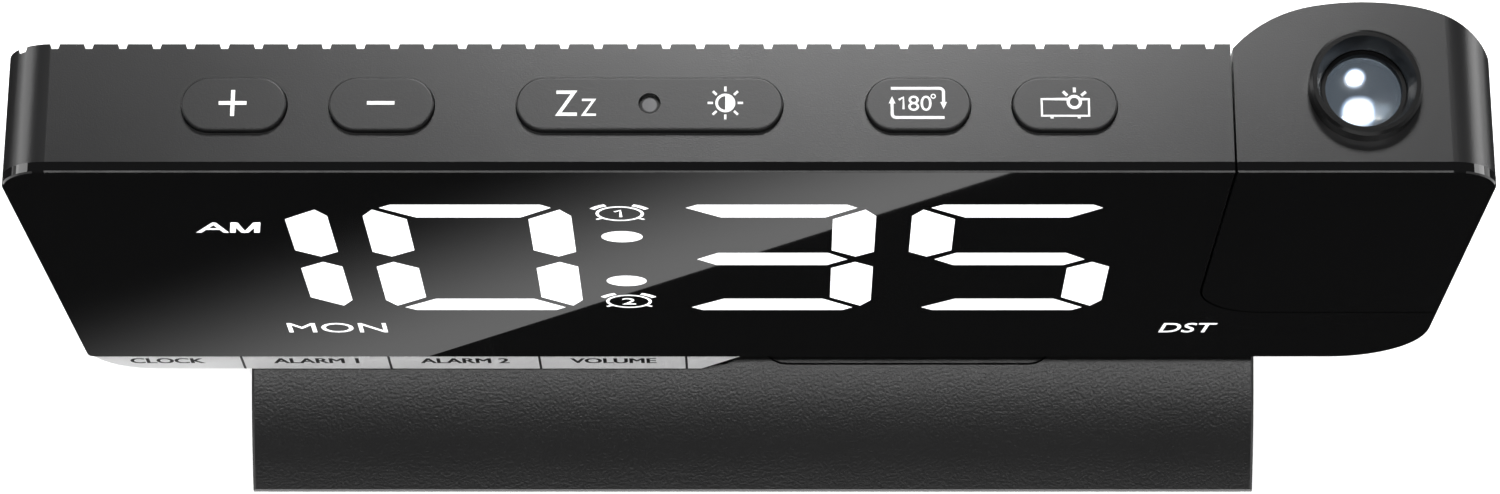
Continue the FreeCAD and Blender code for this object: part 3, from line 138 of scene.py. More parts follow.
# A ring, round or a little flattened
def ringPlate(x, y, radius, stroke, high=1.0):
    deselectAll()
    bpy.ops.mesh.primitive_circle_add(vertices=roundSides["ring"], radius=radius, fill_type="NGON")
    ring = bpy.context.object
    bpy.ops.object.mode_set(mode="EDIT")
    bpy.ops.mesh.select_all(action="SELECT")
    bpy.ops.mesh.inset(thickness=stroke, depth=0)
    bpy.ops.mesh.delete(type="FACE")
    bpy.ops.object.mode_set(mode="OBJECT")
    ring.scale = (1, high, 1)
    ring.location = (x, y, 0)
    applyPlace(ring)
    return ring


# A round bead along the points
def beadAlong(points, wide, isClosed=False):
    line = bpy.data.curves.new("stroke", "CURVE")
    line.dimensions = "3D"
    line.bevel_depth = wide / 2
    line.bevel_resolution = 1
    line.use_fill_caps = True
    spline = line.splines.new("POLY")
    spline.points.add(len(points) - 1)
    for point, place in zip(spline.points, points):
        point.co = (*place, 1)
    spline.use_cyclic_u = isClosed
    stroke = bpy.data.objects.new("stroke", line)
    bpy.context.collection.objects.link(stroke)
    pick(stroke)
    bpy.ops.object.convert(target="MESH")
    return bpy.context.object


# A bead pressed flat
def strokePlate(points, wide, thick):
    stroke = beadAlong([(x, y, 0) for x, y in points], wide)
    stroke.scale = (1, 1, thick / wide)
    stroke.location = (0, 0, -thick / 2)
    applyPlace(stroke)
    return stroke


# Points on an arc between two angles in degrees
def arcPoints(x, y, radius, start, stop, steps=6):
    turns = [math.radians(start + (stop - start) * step / steps) for step in range(steps + 1)]
    return [(x + math.cos(turn) * radius, y + math.sin(turn) * radius) for turn in turns]


# Letters as a plate of the given height, widened and leant where asked
def textPlate(words, x, y, height, wide=None, bold=0.0, lean=0.0):
    deselectAll()
    bpy.ops.object.text_add(location=(0, 0, 0))
    text = bpy.context.object
    text.data.body = words
    text.data.align_x = "CENTER"
    text.data.align_y = "CENTER"
    text.data.size = letterSize
    text.data.offset = bold * letterSize
    text.data.resolution_u = 4
    bpy.ops.object.convert(target="MESH")
    plate = bpy.context.object
    ys = [vertex.co.y for vertex in plate.data.vertices]
    for vertex in plate.data.vertices:
        vertex.co.x += (vertex.co.y - min(ys)) * lean
    xs = [vertex.co.x for vertex in plate.data.vertices]
    tall = height / (max(ys) - min(ys))
    broad = wide / (max(xs) - min(xs)) if wide else tall
    plate.scale = (broad, tall, 1)
    plate.location = (x - (max(xs) + min(xs)) / 2 * broad, y - (max(ys) + min(ys)) / 2 * tall, 0)
    applyPlace(plate)
    return plate


# Joins flat plates, gives them their thickness and lays them on a face
def layPlates(plates, name, thick, place, isUpright, strokes=()):
    piece = joinPieces(plates, name)
    thicken(piece, thick)
    piece = joinPieces([piece, *strokes], name)
    if isUpright:
        piece.rotation_euler = (math.pi / 2, 0, 0)
    piece.location = place
    applyPlace(piece)
    return piece


# Node helpers
def newMaterial(name):
    material = bpy.data.materials.new(name)
    material.use_nodes = True
    tree = material.node_tree
    return material, tree, tree.nodes["Principled BSDF"]


def newNode(tree, kind, place, **values):
    node = tree.nodes.new(kind)
    node.location = place
    for key, value in values.items():
        setattr(node, key, value)
    return node


# Shared group: moulded surface with fine grain, and slow changes of gloss and shade
grainShape = {"detail": 3, "slowScale": 60, "slowDetail": 4, "depth": 0.1 * mm}


def makeGrainGroup():
    tree = bpy.data.node_groups.new("mouldedGrain", "ShaderNodeTree")
    for name, kind, default in (
            ("Color", "NodeSocketColor", (0.02, 0.02, 0.02, 1)), ("Grain Scale", "NodeSocketFloat", 3000),
            ("Grain Depth", "NodeSocketFloat", 0.2), ("Roughness", "NodeSocketFloat", 0.4),
            ("Roughness Change", "NodeSocketFloat", 0.05), ("Shade Change", "NodeSocketFloat", 0.1)):
        socket = tree.interface.new_socket(name=name, in_out="INPUT", socket_type=kind)
        socket.default_value = default
    for name, kind in (
            ("Color", "NodeSocketColor"), ("Roughness", "NodeSocketFloat"), ("Normal", "NodeSocketVector")):
        tree.interface.new_socket(name=name, in_out="OUTPUT", socket_type=kind)
    source = newNode(tree, "NodeGroupInput", (-900, 0))
    target = newNode(tree, "NodeGroupOutput", (500, 0))
    place = newNode(tree, "ShaderNodeTexCoord", (-900, -300))
    grain = newNode(tree, "ShaderNodeTexNoise", (-600, -350))
    grain.inputs["Detail"].default_value = grainShape["detail"]
    slow = newNode(tree, "ShaderNodeTexNoise", (-600, 200))
    slow.inputs["Scale"].default_value = grainShape["slowScale"]
    slow.inputs["Detail"].default_value = grainShape["slowDetail"]
    tree.links.new(place.outputs["Object"], grain.inputs["Vector"])
    tree.links.new(place.outputs["Object"], slow.inputs["Vector"])
    tree.links.new(source.outputs["Grain Scale"], grain.inputs["Scale"])
    centred = newNode(tree, "ShaderNodeMath", (-350, 200), operation="SUBTRACT")
    centred.inputs[1].default_value = 0.5
    tree.links.new(slow.outputs["Fac"], centred.inputs[0])
    change = newNode(tree, "ShaderNodeMath", (-150, 100), operation="MULTIPLY_ADD")
    tree.links.new(centred.outputs[0], change.inputs[0])
    tree.links.new(source.outputs["Roughness Change"], change.inputs[1])
    tree.links.new(source.outputs["Roughness"], change.inputs[2])
    tree.links.new(change.outputs[0], target.inputs["Roughness"])
    shade = newNode(tree, "ShaderNodeMath", (-150, 350), operation="MULTIPLY_ADD")
    shade.inputs[2].default_value = 1
    tree.links.new(centred.outputs[0], shade.inputs[0])
    tree.links.new(source.outputs["Shade Change"], shade.inputs[1])
    tint = newNode(tree, "ShaderNodeVectorMath", (100, 300), operation="SCALE")
    tree.links.new(source.outputs["Color"], tint.inputs[0])
    tree.links.new(shade.outputs[0], tint.inputs["Scale"])
    tree.links.new(tint.outputs[0], target.inputs["Color"])
    bump = newNode(tree, "ShaderNodeBump", (200, -250))
    bump.inputs["Distance"].default_value = grainShape["depth"]
    tree.links.new(source.outputs["Grain Depth"], bump.inputs["Strength"])
    tree.links.new(grain.outputs["Fac"], bump.inputs["Height"])
    tree.links.new(bump.outputs["Normal"], target.inputs["Normal"])
    return tree


grainGroup = makeGrainGroup()


def mouldedMaterial(name, look):
    material, tree, shader = newMaterial(name)
    grain = newNode(tree, "ShaderNodeGroup", (-350, 0), node_tree=grainGroup)
    grain.inputs["Color"].default_value = (*look["color"], 1)
    for socket, key in (
            ("Grain Scale", "grainScale"), ("Grain Depth", "grainDepth"), ("Roughness", "roughness"),
            ("Roughness Change", "roughnessChange"), ("Shade Change", "shadeChange")):
        grain.inputs[socket].default_value = look[key]
    tree.links.new(grain.outputs["Color"], shader.inputs["Base Color"])
    tree.links.new(grain.outputs["Roughness"], shader.inputs["Roughness"])
    tree.links.new(grain.outputs["Normal"], shader.inputs["Normal"])
    shader.inputs["Metallic"].default_value = look.get("metallic", 0)
    shader.inputs["Specular IOR Level"].default_value = look.get("specular", 0.5)
    return material


looks = {
    "satinBlack": {"color": (0.0095, 0.0095, 0.0099), "grainScale": 5000, "grainDepth": 0.12,
                   "roughness": 0.29, "roughnessChange": 0.05, "shadeChange": 0.15},
    "buttonBlack": {"color": (0.009, 0.009, 0.0094), "grainScale": 5000, "grainDepth": 0.1,
                    "roughness": 0.35, "roughnessChange": 0.05, "shadeChange": 0.15, "specular": 0.4},
    "glossBlack": {"color": (0.0022, 0.0022, 0.0024), "grainScale": 300, "grainDepth": 0.004,
                   "roughness": 0.025, "roughnessChange": 0.015, "shadeChange": 0.1},
    "standBlack": {"color": (0.007, 0.007, 0.0072), "grainScale": 2600, "grainDepth": 0.5, "roughness": 0.3,
                   "roughnessChange": 0.03, "shadeChange": 0.2, "specular": 0.38},
    "stripGrey": {"color": (0.94, 0.94, 0.945), "grainScale": 3500, "grainDepth": 0.1, "roughness": 0.5,
                  "roughnessChange": 0.08, "shadeChange": 0.06},
    "ringBlack": {"color": (0.004, 0.004, 0.0042), "grainScale": 5000, "grainDepth": 0.08, "roughness": 0.24,
                  "roughnessChange": 0.05, "shadeChange": 0.15, "specular": 0.18},
    "tubeBlack": {"color": (0.0025, 0.0025, 0.0027), "grainScale": 5000, "grainDepth": 0.08,
                  "roughness": 0.4, "roughnessChange": 0.05, "shadeChange": 0.15, "specular": 0.12},
    "seamBlack": {"color": (0.001, 0.001, 0.001), "grainScale": 4000, "grainDepth": 0.1, "roughness": 0.8,
                  "roughnessChange": 0.05, "shadeChange": 0.1, "specular": 0.05},
    "deepBlack": {"color": (0.006, 0.006, 0.0062), "grainScale": 4000, "grainDepth": 0.15, "roughness": 0.45,
                  "roughnessChange": 0.08, "shadeChange": 0.2},
    "whiteMoulding": {"color": (0.72, 0.72, 0.7), "grainScale": 3000, "grainDepth": 0.1, "roughness": 0.5,
                      "roughnessChange": 0.08, "shadeChange": 0.05},
    "smokedWindow": {"color": (0.008, 0.008, 0.01), "grainScale": 1000, "grainDepth": 0.01,
                     "roughness": 0.08, "roughnessChange": 0.04, "shadeChange": 0.1},
    "boardGreen": {"color": (0.012, 0.075, 0.03), "grainScale": 900, "grainDepth": 0.2, "roughness": 0.35,
                   "roughnessChange": 0.15, "shadeChange": 0.5},
    "ledCase": {"color": (0.8, 0.78, 0.62), "grainScale": 2000, "grainDepth": 0.05, "roughness": 0.2,
                "roughnessChange": 0.08, "shadeChange": 0.1},
    "zincSteel": {"color": (0.56, 0.56, 0.57), "grainScale": 2500, "grainDepth": 0.12, "roughness": 0.3,
                  "roughnessChange": 0.15, "shadeChange": 0.12, "metallic": 1},
    "finAluminium": {"color": (0.75, 0.76, 0.78), "grainScale": 1800, "grainDepth": 0.2, "roughness": 0.36,
                     "roughnessChange": 0.12, "shadeChange": 0.1, "metallic": 1},
    "castIron": {"color": (0.1, 0.098, 0.095), "grainScale": 900, "grainDepth": 0.8, "roughness": 0.62,
                 "roughnessChange": 0.2, "shadeChange": 0.4, "metallic": 0.6},
    "footRubber": {"color": (0.018, 0.018, 0.018), "grainScale": 1500, "grainDepth": 0.35, "roughness": 0.75,
                   "roughnessChange": 0.1, "shadeChange": 0.25},
    "printWhite": {"color": (0.9, 0.9, 0.9), "grainScale": 4000, "grainDepth": 0.05, "roughness": 0.55,
                   "roughnessChange": 0.05, "shadeChange": 0.03},
    "printDark": {"color": (0.012, 0.012, 0.013), "grainScale": 4000, "grainDepth": 0.05, "roughness": 0.6,
                  "roughnessChange": 0.05, "shadeChange": 0.05}}
materials = {name: mouldedMaterial(name, look) for name, look in looks.items()}


# Shared group: clear surface with a film of dust that takes some of its gloss
def makeDustGroup():
    tree = bpy.data.node_groups.new("dustFilm", "ShaderNodeTree")
    for name, default in (("Dust Scale", 700), ("Clean Roughness", 0.01), ("Dusty Roughness", 0.04)):
        socket = tree.interface.new_socket(name=name, in_out="INPUT", socket_type="NodeSocketFloat")
        socket.default_value = default
    tree.interface.new_socket(name="Roughness", in_out="OUTPUT", socket_type="NodeSocketFloat")
    source = newNode(tree, "NodeGroupInput", (-700, -200))
    target = newNode(tree, "NodeGroupOutput", (200, 0))
    place = newNode(tree, "ShaderNodeTexCoord", (-700, 100))
    dust = newNode(tree, "ShaderNodeTexNoise", (-400, 100))
    spread = newNode(tree, "ShaderNodeMapRange", (-100, 0))
    tree.links.new(place.outputs["Object"], dust.inputs["Vector"])
    tree.links.new(source.outputs["Dust Scale"], dust.inputs["Scale"])
    tree.links.new(dust.outputs["Fac"], spread.inputs["Value"])
    tree.links.new(source.outputs["Clean Roughness"], spread.inputs["To Min"])
    tree.links.new(source.outputs["Dusty Roughness"], spread.inputs["To Max"])
    tree.links.new(spread.outputs["Result"], target.inputs["Roughness"])
    return tree


dustGroup = makeDustGroup()


def addDust(tree, shader, scale, clean, dusty):
    dust = newNode(tree, "ShaderNodeGroup", (-400, -250), node_tree=dustGroup)
    dust.inputs["Dust Scale"].default_value = scale
    dust.inputs["Clean Roughness"].default_value = clean
    dust.inputs["Dusty Roughness"].default_value = dusty
    tree.links.new(dust.outputs["Roughness"], shader.inputs["Roughness"])


glassLooks = {
    "lensGlass": {"color": (0.5, 0.58, 0.66), "dust": (700, 0.14, 0.17)},
    "clearGlass": {"color": (0.8, 0.86, 0.9), "dust": (700, 0.01, 0.04)}}
glassBend = 1.52


def glassMaterial(name, look):
    material, tree, shader = newMaterial(name)
    shader.inputs["Base Color"].default_value = (*look["color"], 1)
    shader.inputs["Transmission Weight"].default_value = 1
    shader.inputs["IOR"].default_value = glassBend
    addDust(tree, shader, *look["dust"])
    return material


litLook = {"base": 0.8, "roughness": 0.5, "strength": 1.0, "patchScale": 90, "cool": (0.95, 0.96, 1, 1)}


def litMaterial(name):
    material, tree, shader = newMaterial(name)
    shader.inputs["Base Color"].default_value = (litLook["base"], litLook["base"], litLook["base"], 1)
    shader.inputs["Roughness"].default_value = litLook["roughness"]
    shader.inputs["Emission Strength"].default_value = litLook["strength"]
    place = newNode(tree, "ShaderNodeTexCoord", (-900, 0))
    glow = newNode(tree, "ShaderNodeTexNoise", (-650, 0))
    glow.inputs["Scale"].default_value = litLook["patchScale"]
    ramp = newNode(tree, "ShaderNodeValToRGB", (-400, 0))
    ramp.color_ramp.elements[0].color = litLook["cool"]
    ramp.color_ramp.elements[1].color = (1, 1, 1, 1)
    tree.links.new(place.outputs["Object"], glow.inputs["Vector"])
    tree.links.new(glow.outputs["Fac"], ramp.inputs["Fac"])
    tree.links.new(ramp.outputs["Color"], shader.inputs["Emission Color"])
    return material


# Painted highlights in the front lens, standing for reflections of the lamps: a round and a squarish glowing
# patch on a faint painted glow
lensPaintedHighlights = {
    "patches": [{"middle": (77.1 * mm, 4.6 * mm, 0), "wide": (1.15 * mm, 1.15 * mm, 1), "bulge": 2},
                {"middle": (77.3 * mm, 0, 0), "wide": (1.95 * mm, 1.7 * mm, 1), "bulge": 2.6}],
    "inner": 0.3, "outer": 1.6, "strength": 1.2, "paintedGlow": (0.036, 0.0425, 0.05, 1),
    "rim": (0.2, 0.26, 0.36, 1), "rimAt": 0.45, "heart": (0.92, 0.97, 1, 1)}


# Group: mask of one painted highlight, a soft patch from an ellipse at bulge 2 towards a rectangle above it
def makePaintedHighlightGroup():
    tree = bpy.data.node_groups.new("paintedHighlightPatch", "ShaderNodeTree")
    for name, kind in (
            ("Middle", "NodeSocketVector"), ("Wide", "NodeSocketVector"), ("Bulge", "NodeSocketFloat")):
        tree.interface.new_socket(name=name, in_out="INPUT", socket_type=kind)
    tree.interface.new_socket(name="Light", in_out="OUTPUT", socket_type="NodeSocketFloat")
    source = newNode(tree, "NodeGroupInput", (-1100, -200))
    target = newNode(tree, "NodeGroupOutput", (500, 0))
    place = newNode(tree, "ShaderNodeTexCoord", (-1100, 100))
    shift = newNode(tree, "ShaderNodeVectorMath", (-850, 0), operation="SUBTRACT")
    share = newNode(tree, "ShaderNodeVectorMath", (-650, 0), operation="DIVIDE")
    size = newNode(tree, "ShaderNodeVectorMath", (-450, 0), operation="ABSOLUTE")
    split = newNode(tree, "ShaderNodeSeparateXYZ", (-300, 0))
    total = newNode(tree, "ShaderNodeMath", (50, 0), operation="ADD")
    tree.links.new(place.outputs["Object"], shift.inputs[0])
    tree.links.new(source.outputs["Middle"], shift.inputs[1])
    tree.links.new(shift.outputs[0], share.inputs[0])
    tree.links.new(source.outputs["Wide"], share.inputs[1])
    tree.links.new(share.outputs[0], size.inputs[0])
    tree.links.new(size.outputs[0], split.inputs[0])
    for index, axis in enumerate("XY"):
        power = newNode(tree, "ShaderNodeMath", (-120, -150 * index), operation="POWER")
        tree.links.new(split.outputs[axis], power.inputs[0])
        tree.links.new(source.outputs["Bulge"], power.inputs[1])
        tree.links.new(power.outputs[0], total.inputs[index])
    fade = newNode(tree, "ShaderNodeMapRange", (250, 0), interpolation_type="SMOOTHSTEP")
    fade.inputs["From Min"].default_value = lensPaintedHighlights["inner"]
    fade.inputs["From Max"].default_value = lensPaintedHighlights["outer"]
    fade.inputs["To Min"].default_value = 1
    fade.inputs["To Max"].default_value = 0
    tree.links.new(total.outputs[0], fade.inputs["Value"])
    tree.links.new(fade.outputs["Result"], target.inputs["Light"])
    return tree


# Paints the lens highlights and a faint glow over the lens as emission
def addPaintedLensHighlights(material):
    tree = material.node_tree
    shader = tree.nodes["Principled BSDF"]
    paintedHighlightGroup = makePaintedHighlightGroup()
    both = newNode(tree, "ShaderNodeMath", (-600, -600), operation="MAXIMUM")
    for index, look in enumerate(lensPaintedHighlights["patches"]):
        patch = newNode(tree, "ShaderNodeGroup", (-850, -500 - 200 * index), node_tree=paintedHighlightGroup)
        patch.inputs["Middle"].default_value = look["middle"]
        patch.inputs["Wide"].default_value = look["wide"]
        patch.inputs["Bulge"].default_value = look["bulge"]
        tree.links.new(patch.outputs["Light"], both.inputs[index])
    tint = newNode(tree, "ShaderNodeValToRGB", (-400, -600))
    tint.color_ramp.elements[0].color = lensPaintedHighlights["paintedGlow"]
    tint.color_ramp.elements[1].color = lensPaintedHighlights["heart"]
    rim = tint.color_ramp.elements.new(lensPaintedHighlights["rimAt"])
    rim.color = lensPaintedHighlights["rim"]
    tree.links.new(both.outputs[0], tint.inputs["Fac"])
    tree.links.new(tint.outputs["Color"], shader.inputs["Emission Color"])
    shader.inputs["Emission Strength"].default_value = lensPaintedHighlights["strength"]


# Clear pip over the light sensor in a dark ring of painted shade, standing for the shadow of the hole's wall
windowLook = {
    "middle": sum(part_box("light_sensor_window"), Vector()) / 2, "pip": 0.8 * mm, "edge": 1.05 * mm,
    "inside": (0.13, 0.13, 0.135, 1), "outside": (0.003, 0.003, 0.003, 1), "dust": (900, 0.12, 0.26)}


def windowMaterial(name):
    material, tree, shader = newMaterial(name)
    place = newNode(tree, "ShaderNodeTexCoord", (-1100, 0))
    away = newNode(tree, "ShaderNodeVectorMath", (-900, 0), operation="SUBTRACT")
    away.inputs[1].default_value = windowLook["middle"]
    flat = newNode(tree, "ShaderNodeVectorMath", (-750, 0), operation="MULTIPLY")
    flat.inputs[1].default_value = (1, 1, 0)
    reach = newNode(tree, "ShaderNodeVectorMath", (-600, 0), operation="LENGTH")
    edge = newNode(tree, "ShaderNodeMapRange", (-450, 0), interpolation_type="SMOOTHSTEP")
    edge.inputs["From Min"].default_value = windowLook["pip"]
    edge.inputs["From Max"].default_value = windowLook["edge"]
    # Darker towards the window's edge: painted shade of the hole's wall
    shade = newNode(tree, "ShaderNodeMix", (-250, 0), data_type="RGBA")
    shade.inputs["A"].default_value = windowLook["inside"]
    shade.inputs["B"].default_value = windowLook["outside"]
    tree.links.new(place.outputs["Object"], away.inputs[0])
    tree.links.new(away.outputs[0], flat.inputs[0])
    tree.links.new(flat.outputs[0], reach.inputs[0])
    tree.links.new(reach.outputs["Value"], edge.inputs["Value"])
    tree.links.new(edge.outputs["Result"], shade.inputs["Factor"])
    tree.links.new(shade.outputs["Result"], shader.inputs["Base Color"])
    addDust(tree, shader, *windowLook["dust"])
    return material


for name, look in glassLooks.items():
    materials[name] = glassMaterial(name, look)
# The front lens gets its painted highlights and painted glow as emission
addPaintedLensHighlights(materials["lensGlass"])
materials["sensorWindow"] = windowMaterial("sensorWindow")
materials["litWhite"] = litMaterial("litWhite")

finishes = {
    "satinBlack": ["housing", "head_housing", "backup_cell_door"],
    "ringBlack": ["focus_ring"],
    "tubeBlack": ["lens_tube"],
    "buttonBlack": ["button_plus", "button_minus", "button_snooze_dimmer", "button_flip", "button_projector",
                    "rear_key_1", "rear_key_2", "rear_key_3", "rear_key_4"],
    "glossBlack": ["front_panel", "head_panel"],
    "standBlack": ["stand_shell", "stand_plate", "neck_left", "neck_right"],
    "stripGrey": ["label_strip"],
    "deepBlack": ["projector_barrel", "deck_switches", "rear_switches", "board_header", "clock_chip",
                  "speaker"],
    "whiteMoulding": ["display_reflector", "pivot_friction_washer", "backup_cell_holder"],
    "lensGlass": ["projection_lens"],
    "clearGlass": ["condenser_lens"],
    "sensorWindow": ["light_sensor_window"],
    "smokedWindow": ["time_film", "light_sensor"],
    "boardGreen": ["display_board", "deck_key_board", "rear_key_board", "main_board", "socket_board",
                   "lamp_board"],
    "ledCase": ["display_leds", "projector_lamp"],
    "zincSteel": ["display_screws", "neck_screws", "stand_screws", "pivot_spring_washer", "pivot_clip",
                  "backup_cell", "power_inlet", "usb_output"],
    "finAluminium": ["lamp_heat_sink"],
    "castIron": ["stand_weight"],
    "footRubber": ["stand_feet"]}


def dressNodes():
    for finish, names in finishes.items():
        for name in names:
            nodes[name].data.materials.clear()
            nodes[name].data.materials.append(materials[finish])


dressNodes()
print("materials made:", len(materials))

# Lit time: segments of each digit, measured from its middle, in millimetres
display = {
    "lift": 0.03 * mm, "thick": 0.02 * mm, "middleUp": bodyTop - 32.9 * mm,
    "places": [-68.2, -36.6, 2.9, 34.55], "shown": ["bc", "abcdef", "abcdg", "acdfg"],
    "colonPlace": -16.8, "colonDrops": [24.0, 41.7], "colonRadius": 2.72, "colonFlat": 0.78}
upright = [(12.1, 19.2), (13.5, 16.8), (13.5, 3), (11.1, 1.1), (7.9, 3.6), (7.9, 15.6)]
level = [(-11.1, 19.9), (-9.6, 21.05), (9.7, 21.05), (11, 19.9), (6.9, 16.3), (-6.6, 16.3)]
segmentShapes = {
    "a": level, "b": upright, "c": [(x, -y) for x, y in upright], "d": [(x, -y) for x, y in level],
    "e": [(-x, -y) for x, y in upright], "f": [(-x, y) for x, y in upright],
    "g": [(-10, 0), (-7.2, 2.5), (7.4, 2.5), (10, 0), (7.3, -2.3), (-7.4, -2.3)]}


def makeLitTime():
    plates = []
    up = display["middleUp"]
    for place, shown in zip(display["places"], display["shown"]):
        for letter in shown:
            plates.append(cutPlate([((place + x) * mm, up + y * mm) for x, y in segmentShapes[letter]]))
    for drop in display["colonDrops"]:
        dot = discPlate(0, 0, display["colonRadius"] * mm)
        dot.scale = (1, display["colonFlat"], 1)
        dot.location = (display["colonPlace"] * mm, bodyTop - drop * mm, 0)
        applyPlace(dot)
        plates.append(dot)
    piece = layPlates(plates, "lit_time", display["thick"], (0, panelFace - display["lift"], 0), True)
    finishPiece(piece, materials["litWhite"], "clock_body")


makeLitTime()

# Lit signs: half-day, day, summer time and the two numbered alarms
signs = {
    "words": [("A", -70.35, 20.5, 4.3, 3.8, 0.16, True), ("MON", -58.0, 61.75, 13.85, 4.1, 0, False),
              ("DST", 61.05, 61.75, 7.95, 4.1, 0.16, True)],  # place, drop, width, height, lean, bold
    "bold": 0.006, "alarms": [("1", -16.78, 15.2), ("2", -16.78, 50.3)], "alarmRadius": 3.13, "flat": 0.87,
    "stroke": 0.42, "figureHigh": 2.5, "numberHigh": 2.6, "numberWide": 1.9, "earRadius": 4.0,
    "earStroke": 0.8, "earTurns": (29, 64), "footTurns": (-141, -39), "footIn": 0.97, "footOut": 0.95}
slantM = {"middle": -65.85, "drop": 20.5, "wide": 3.9, "high": 3.8, "lean": 0.14, "stroke": 0.24,
          "leg": 0.192, "foot": 0.048}
figureFlag = {"out": 0.62, "down": 0.55}


# The figure 1 with its flag
def figureOne(x, y, height, stroke, thick, wide=1.0):
    half = height / 2
    stem = x + stroke / 4
    flag = (x - half * figureFlag["out"] * wide, y + half * figureFlag["down"])
    return strokePlate([flag, (stem, y + half), (stem, y - half)], stroke, thick)


def alarmSign(number, x, up):
    radius = signs["alarmRadius"] * mm
    stroke = signs["stroke"] * mm
    flat = signs["flat"]
    thick = display["thick"]
    plates = [ringPlate(x, up, radius, stroke, flat)]
    strokes = []
    if number == "1":
        strokes.append(figureOne(x, up, signs["figureHigh"] * mm, stroke, thick, flat))
    else:
        plates.append(textPlate(number, x, up, signs["numberHigh"] * mm, signs["numberWide"] * mm))
    earStroke = signs["earStroke"] * mm
    low, high = signs["earTurns"]
    for start, stop in ((low, high), (180 - high, 180 - low)):
        arc = arcPoints(0, 0, signs["earRadius"] * mm, start, stop)
        strokes.append(strokePlate([(x + dx, up + dy * flat) for dx, dy in arc], earStroke, thick))
    for turn in signs["footTurns"]:
        way = Vector((math.cos(math.radians(turn)), math.sin(math.radians(turn)) * flat))
        start = Vector((x, up)) + way * radius * signs["footIn"]
        stop = start + way * signs["footOut"] * mm
        strokes.append(strokePlate([start, stop], stroke, thick))
    return plates, strokes


# The leaning letter M, from two legs and two slanted strokes in shares of its width and height
def slantedM():
    stroke, leg, foot = slantM["stroke"], slantM["leg"], slantM["foot"]
    half = stroke / 2
    parts = [
        [(0, 0), (leg, 0), (leg, 1), (0, 1)],
        [(1 - leg, 0), (1, 0), (1, 1), (1 - leg, 1)],
        [(0.5 - half, 0), (0.5 + foot, 0), (stroke, 1), (0, 1)],
        [(0.5 - foot, 0), (0.5 + half, 0), (1, 1), (1 - stroke, 1)]]
    plates = []
    for part in parts:
        corners = []
        for x, y in part:
            shift = (x - 0.5) * slantM["wide"] + (y - 0.5) * slantM["high"] * slantM["lean"]
            rise = (y - 0.5) * slantM["high"] - slantM["drop"]
            corners.append(((slantM["middle"] + shift) * mm, bodyTop + rise * mm))
        plates.append(cutPlate(corners))
    return plates


def makeLitSigns():
    plates = []
    strokes = []
    for words, x, drop, wide, high, lean, isBold in signs["words"]:
        bold = signs["bold"] if isBold else 0
        plates.append(textPlate(words, x * mm, bodyTop - drop * mm, high * mm, wide * mm, bold, lean))
    plates += slantedM()
    for number, x, drop in signs["alarms"]:
        flatParts, roundParts = alarmSign(number, x * mm, bodyTop - drop * mm)
        plates += flatParts
        strokes += roundParts
    place = (0, panelFace - display["lift"], 0)
    piece = layPlates(plates, "lit_signs", display["thick"], place, True, strokes)
    finishPiece(piece, materials["litWhite"], "clock_body")


makeLitSigns()
print("display lit")

# Signs printed on the button caps, in millimetres
prints = {
    "lift": 0.02 * mm, "thick": 0.015 * mm,
    "plus": {"middle": (-65.2, 0.29), "reach": 1.76, "stroke": 0.5},
    "minus": {"middle": (-46.5, 0.3), "reach": 1.74, "stroke": 0.48},
    "sleep": [(-23.07, 0.26, 2.76, 3.42), (-20.23, -0.3, 1.88, 2.31)],
    "sun": {"middle": (-2.97, 0.29), "radius": 1.26, "stroke": 0.33, "rayStart": 1.56, "rayEnd": 2.24,
            "rays": 8},
    "turn": {"left": 18.09, "right": 24.6, "high": 2.27, "low": -1.69, "corner": 0.5, "stroke": 0.42,
             "arrowHigh": 0.95, "arrowHalf": 0.42, "topStart": 17.95, "lowStart": 24.7, "downTo": 0.42,
             "upTo": 0.23, "digits": (21.6, 0.25, 2.95, 2.05), "one": 19.45, "oneStroke": 0.315,
             "degree": (23.3, 1.2, 0.33, 0.14)},
    "beam": {"left": 36.99, "right": 42.95, "high": 0.8, "low": -1.45, "stroke": 0.4,
             "ring": (41.11, 0.42, 0.96, 0.38),
             "rays": [(41.15, 1.72, 41.15, 2.4), (40.23, 1.3, 39.7, 1.84), (42.02, 1.3, 42.6, 1.8)],
             "feet": [38.25, 41.68], "footDown": 0.36}}


def layPrint(plates, strokes, name, body):
    place = (0, 0, capTop + prints["lift"])
    piece = layPlates(plates, name, prints["thick"], place, False, strokes)
    finishPiece(piece, materials["printWhite"], body)


def printStroke(points, wide):
    return strokePlate([(x * mm, y * mm) for x, y in points], wide * mm, prints["thick"])


def makeCountPrints():
    for name in ("plus", "minus"):
        sign = prints[name]
        x, y = (value * mm for value in sign["middle"])
        reach = sign["reach"] * mm
        stroke = sign["stroke"] * mm
        plates = [squarePlate(x, y, reach * 2, stroke)]
        if name == "plus":
            arm = reach - stroke / 2
            for side in (-1, 1):
                plates.append(squarePlate(x, y + side * (stroke + arm) / 2, stroke, arm))
        layPrint(plates, [], "print_" + name, "button_" + name)


def makeSleepPrint():
    plates = [textPlate("Z", x * mm, y * mm, high * mm, wide * mm) for x, y, wide, high in prints["sleep"]]
    sun = prints["sun"]
    x, y = (value * mm for value in sun["middle"])
    radius = sun["radius"] * mm
    stroke = sun["stroke"] * mm
    plates.append(ringPlate(x, y, radius, stroke))
    half = discPlate(x, y, radius - stroke)
    pick(half)
    bpy.ops.object.mode_set(mode="EDIT")
    bpy.ops.mesh.select_all(action="SELECT")
    bpy.ops.mesh.bisect(plane_co=(x, y, 0), plane_no=(1, 0, 0), clear_inner=True)
    bpy.ops.object.mode_set(mode="OBJECT")
    plates.append(half)
    strokes = []
    for index in range(sun["rays"]):
        turn = math.tau * index / sun["rays"]
        ray = [(sun["middle"][0] + math.cos(turn) * reach, sun["middle"][1] + math.sin(turn) * reach)
               for reach in (sun["rayStart"], sun["rayEnd"])]
        strokes.append(printStroke(ray, sun["stroke"]))
    layPrint(plates, strokes, "print_snooze_dimmer", "button_snooze_dimmer")


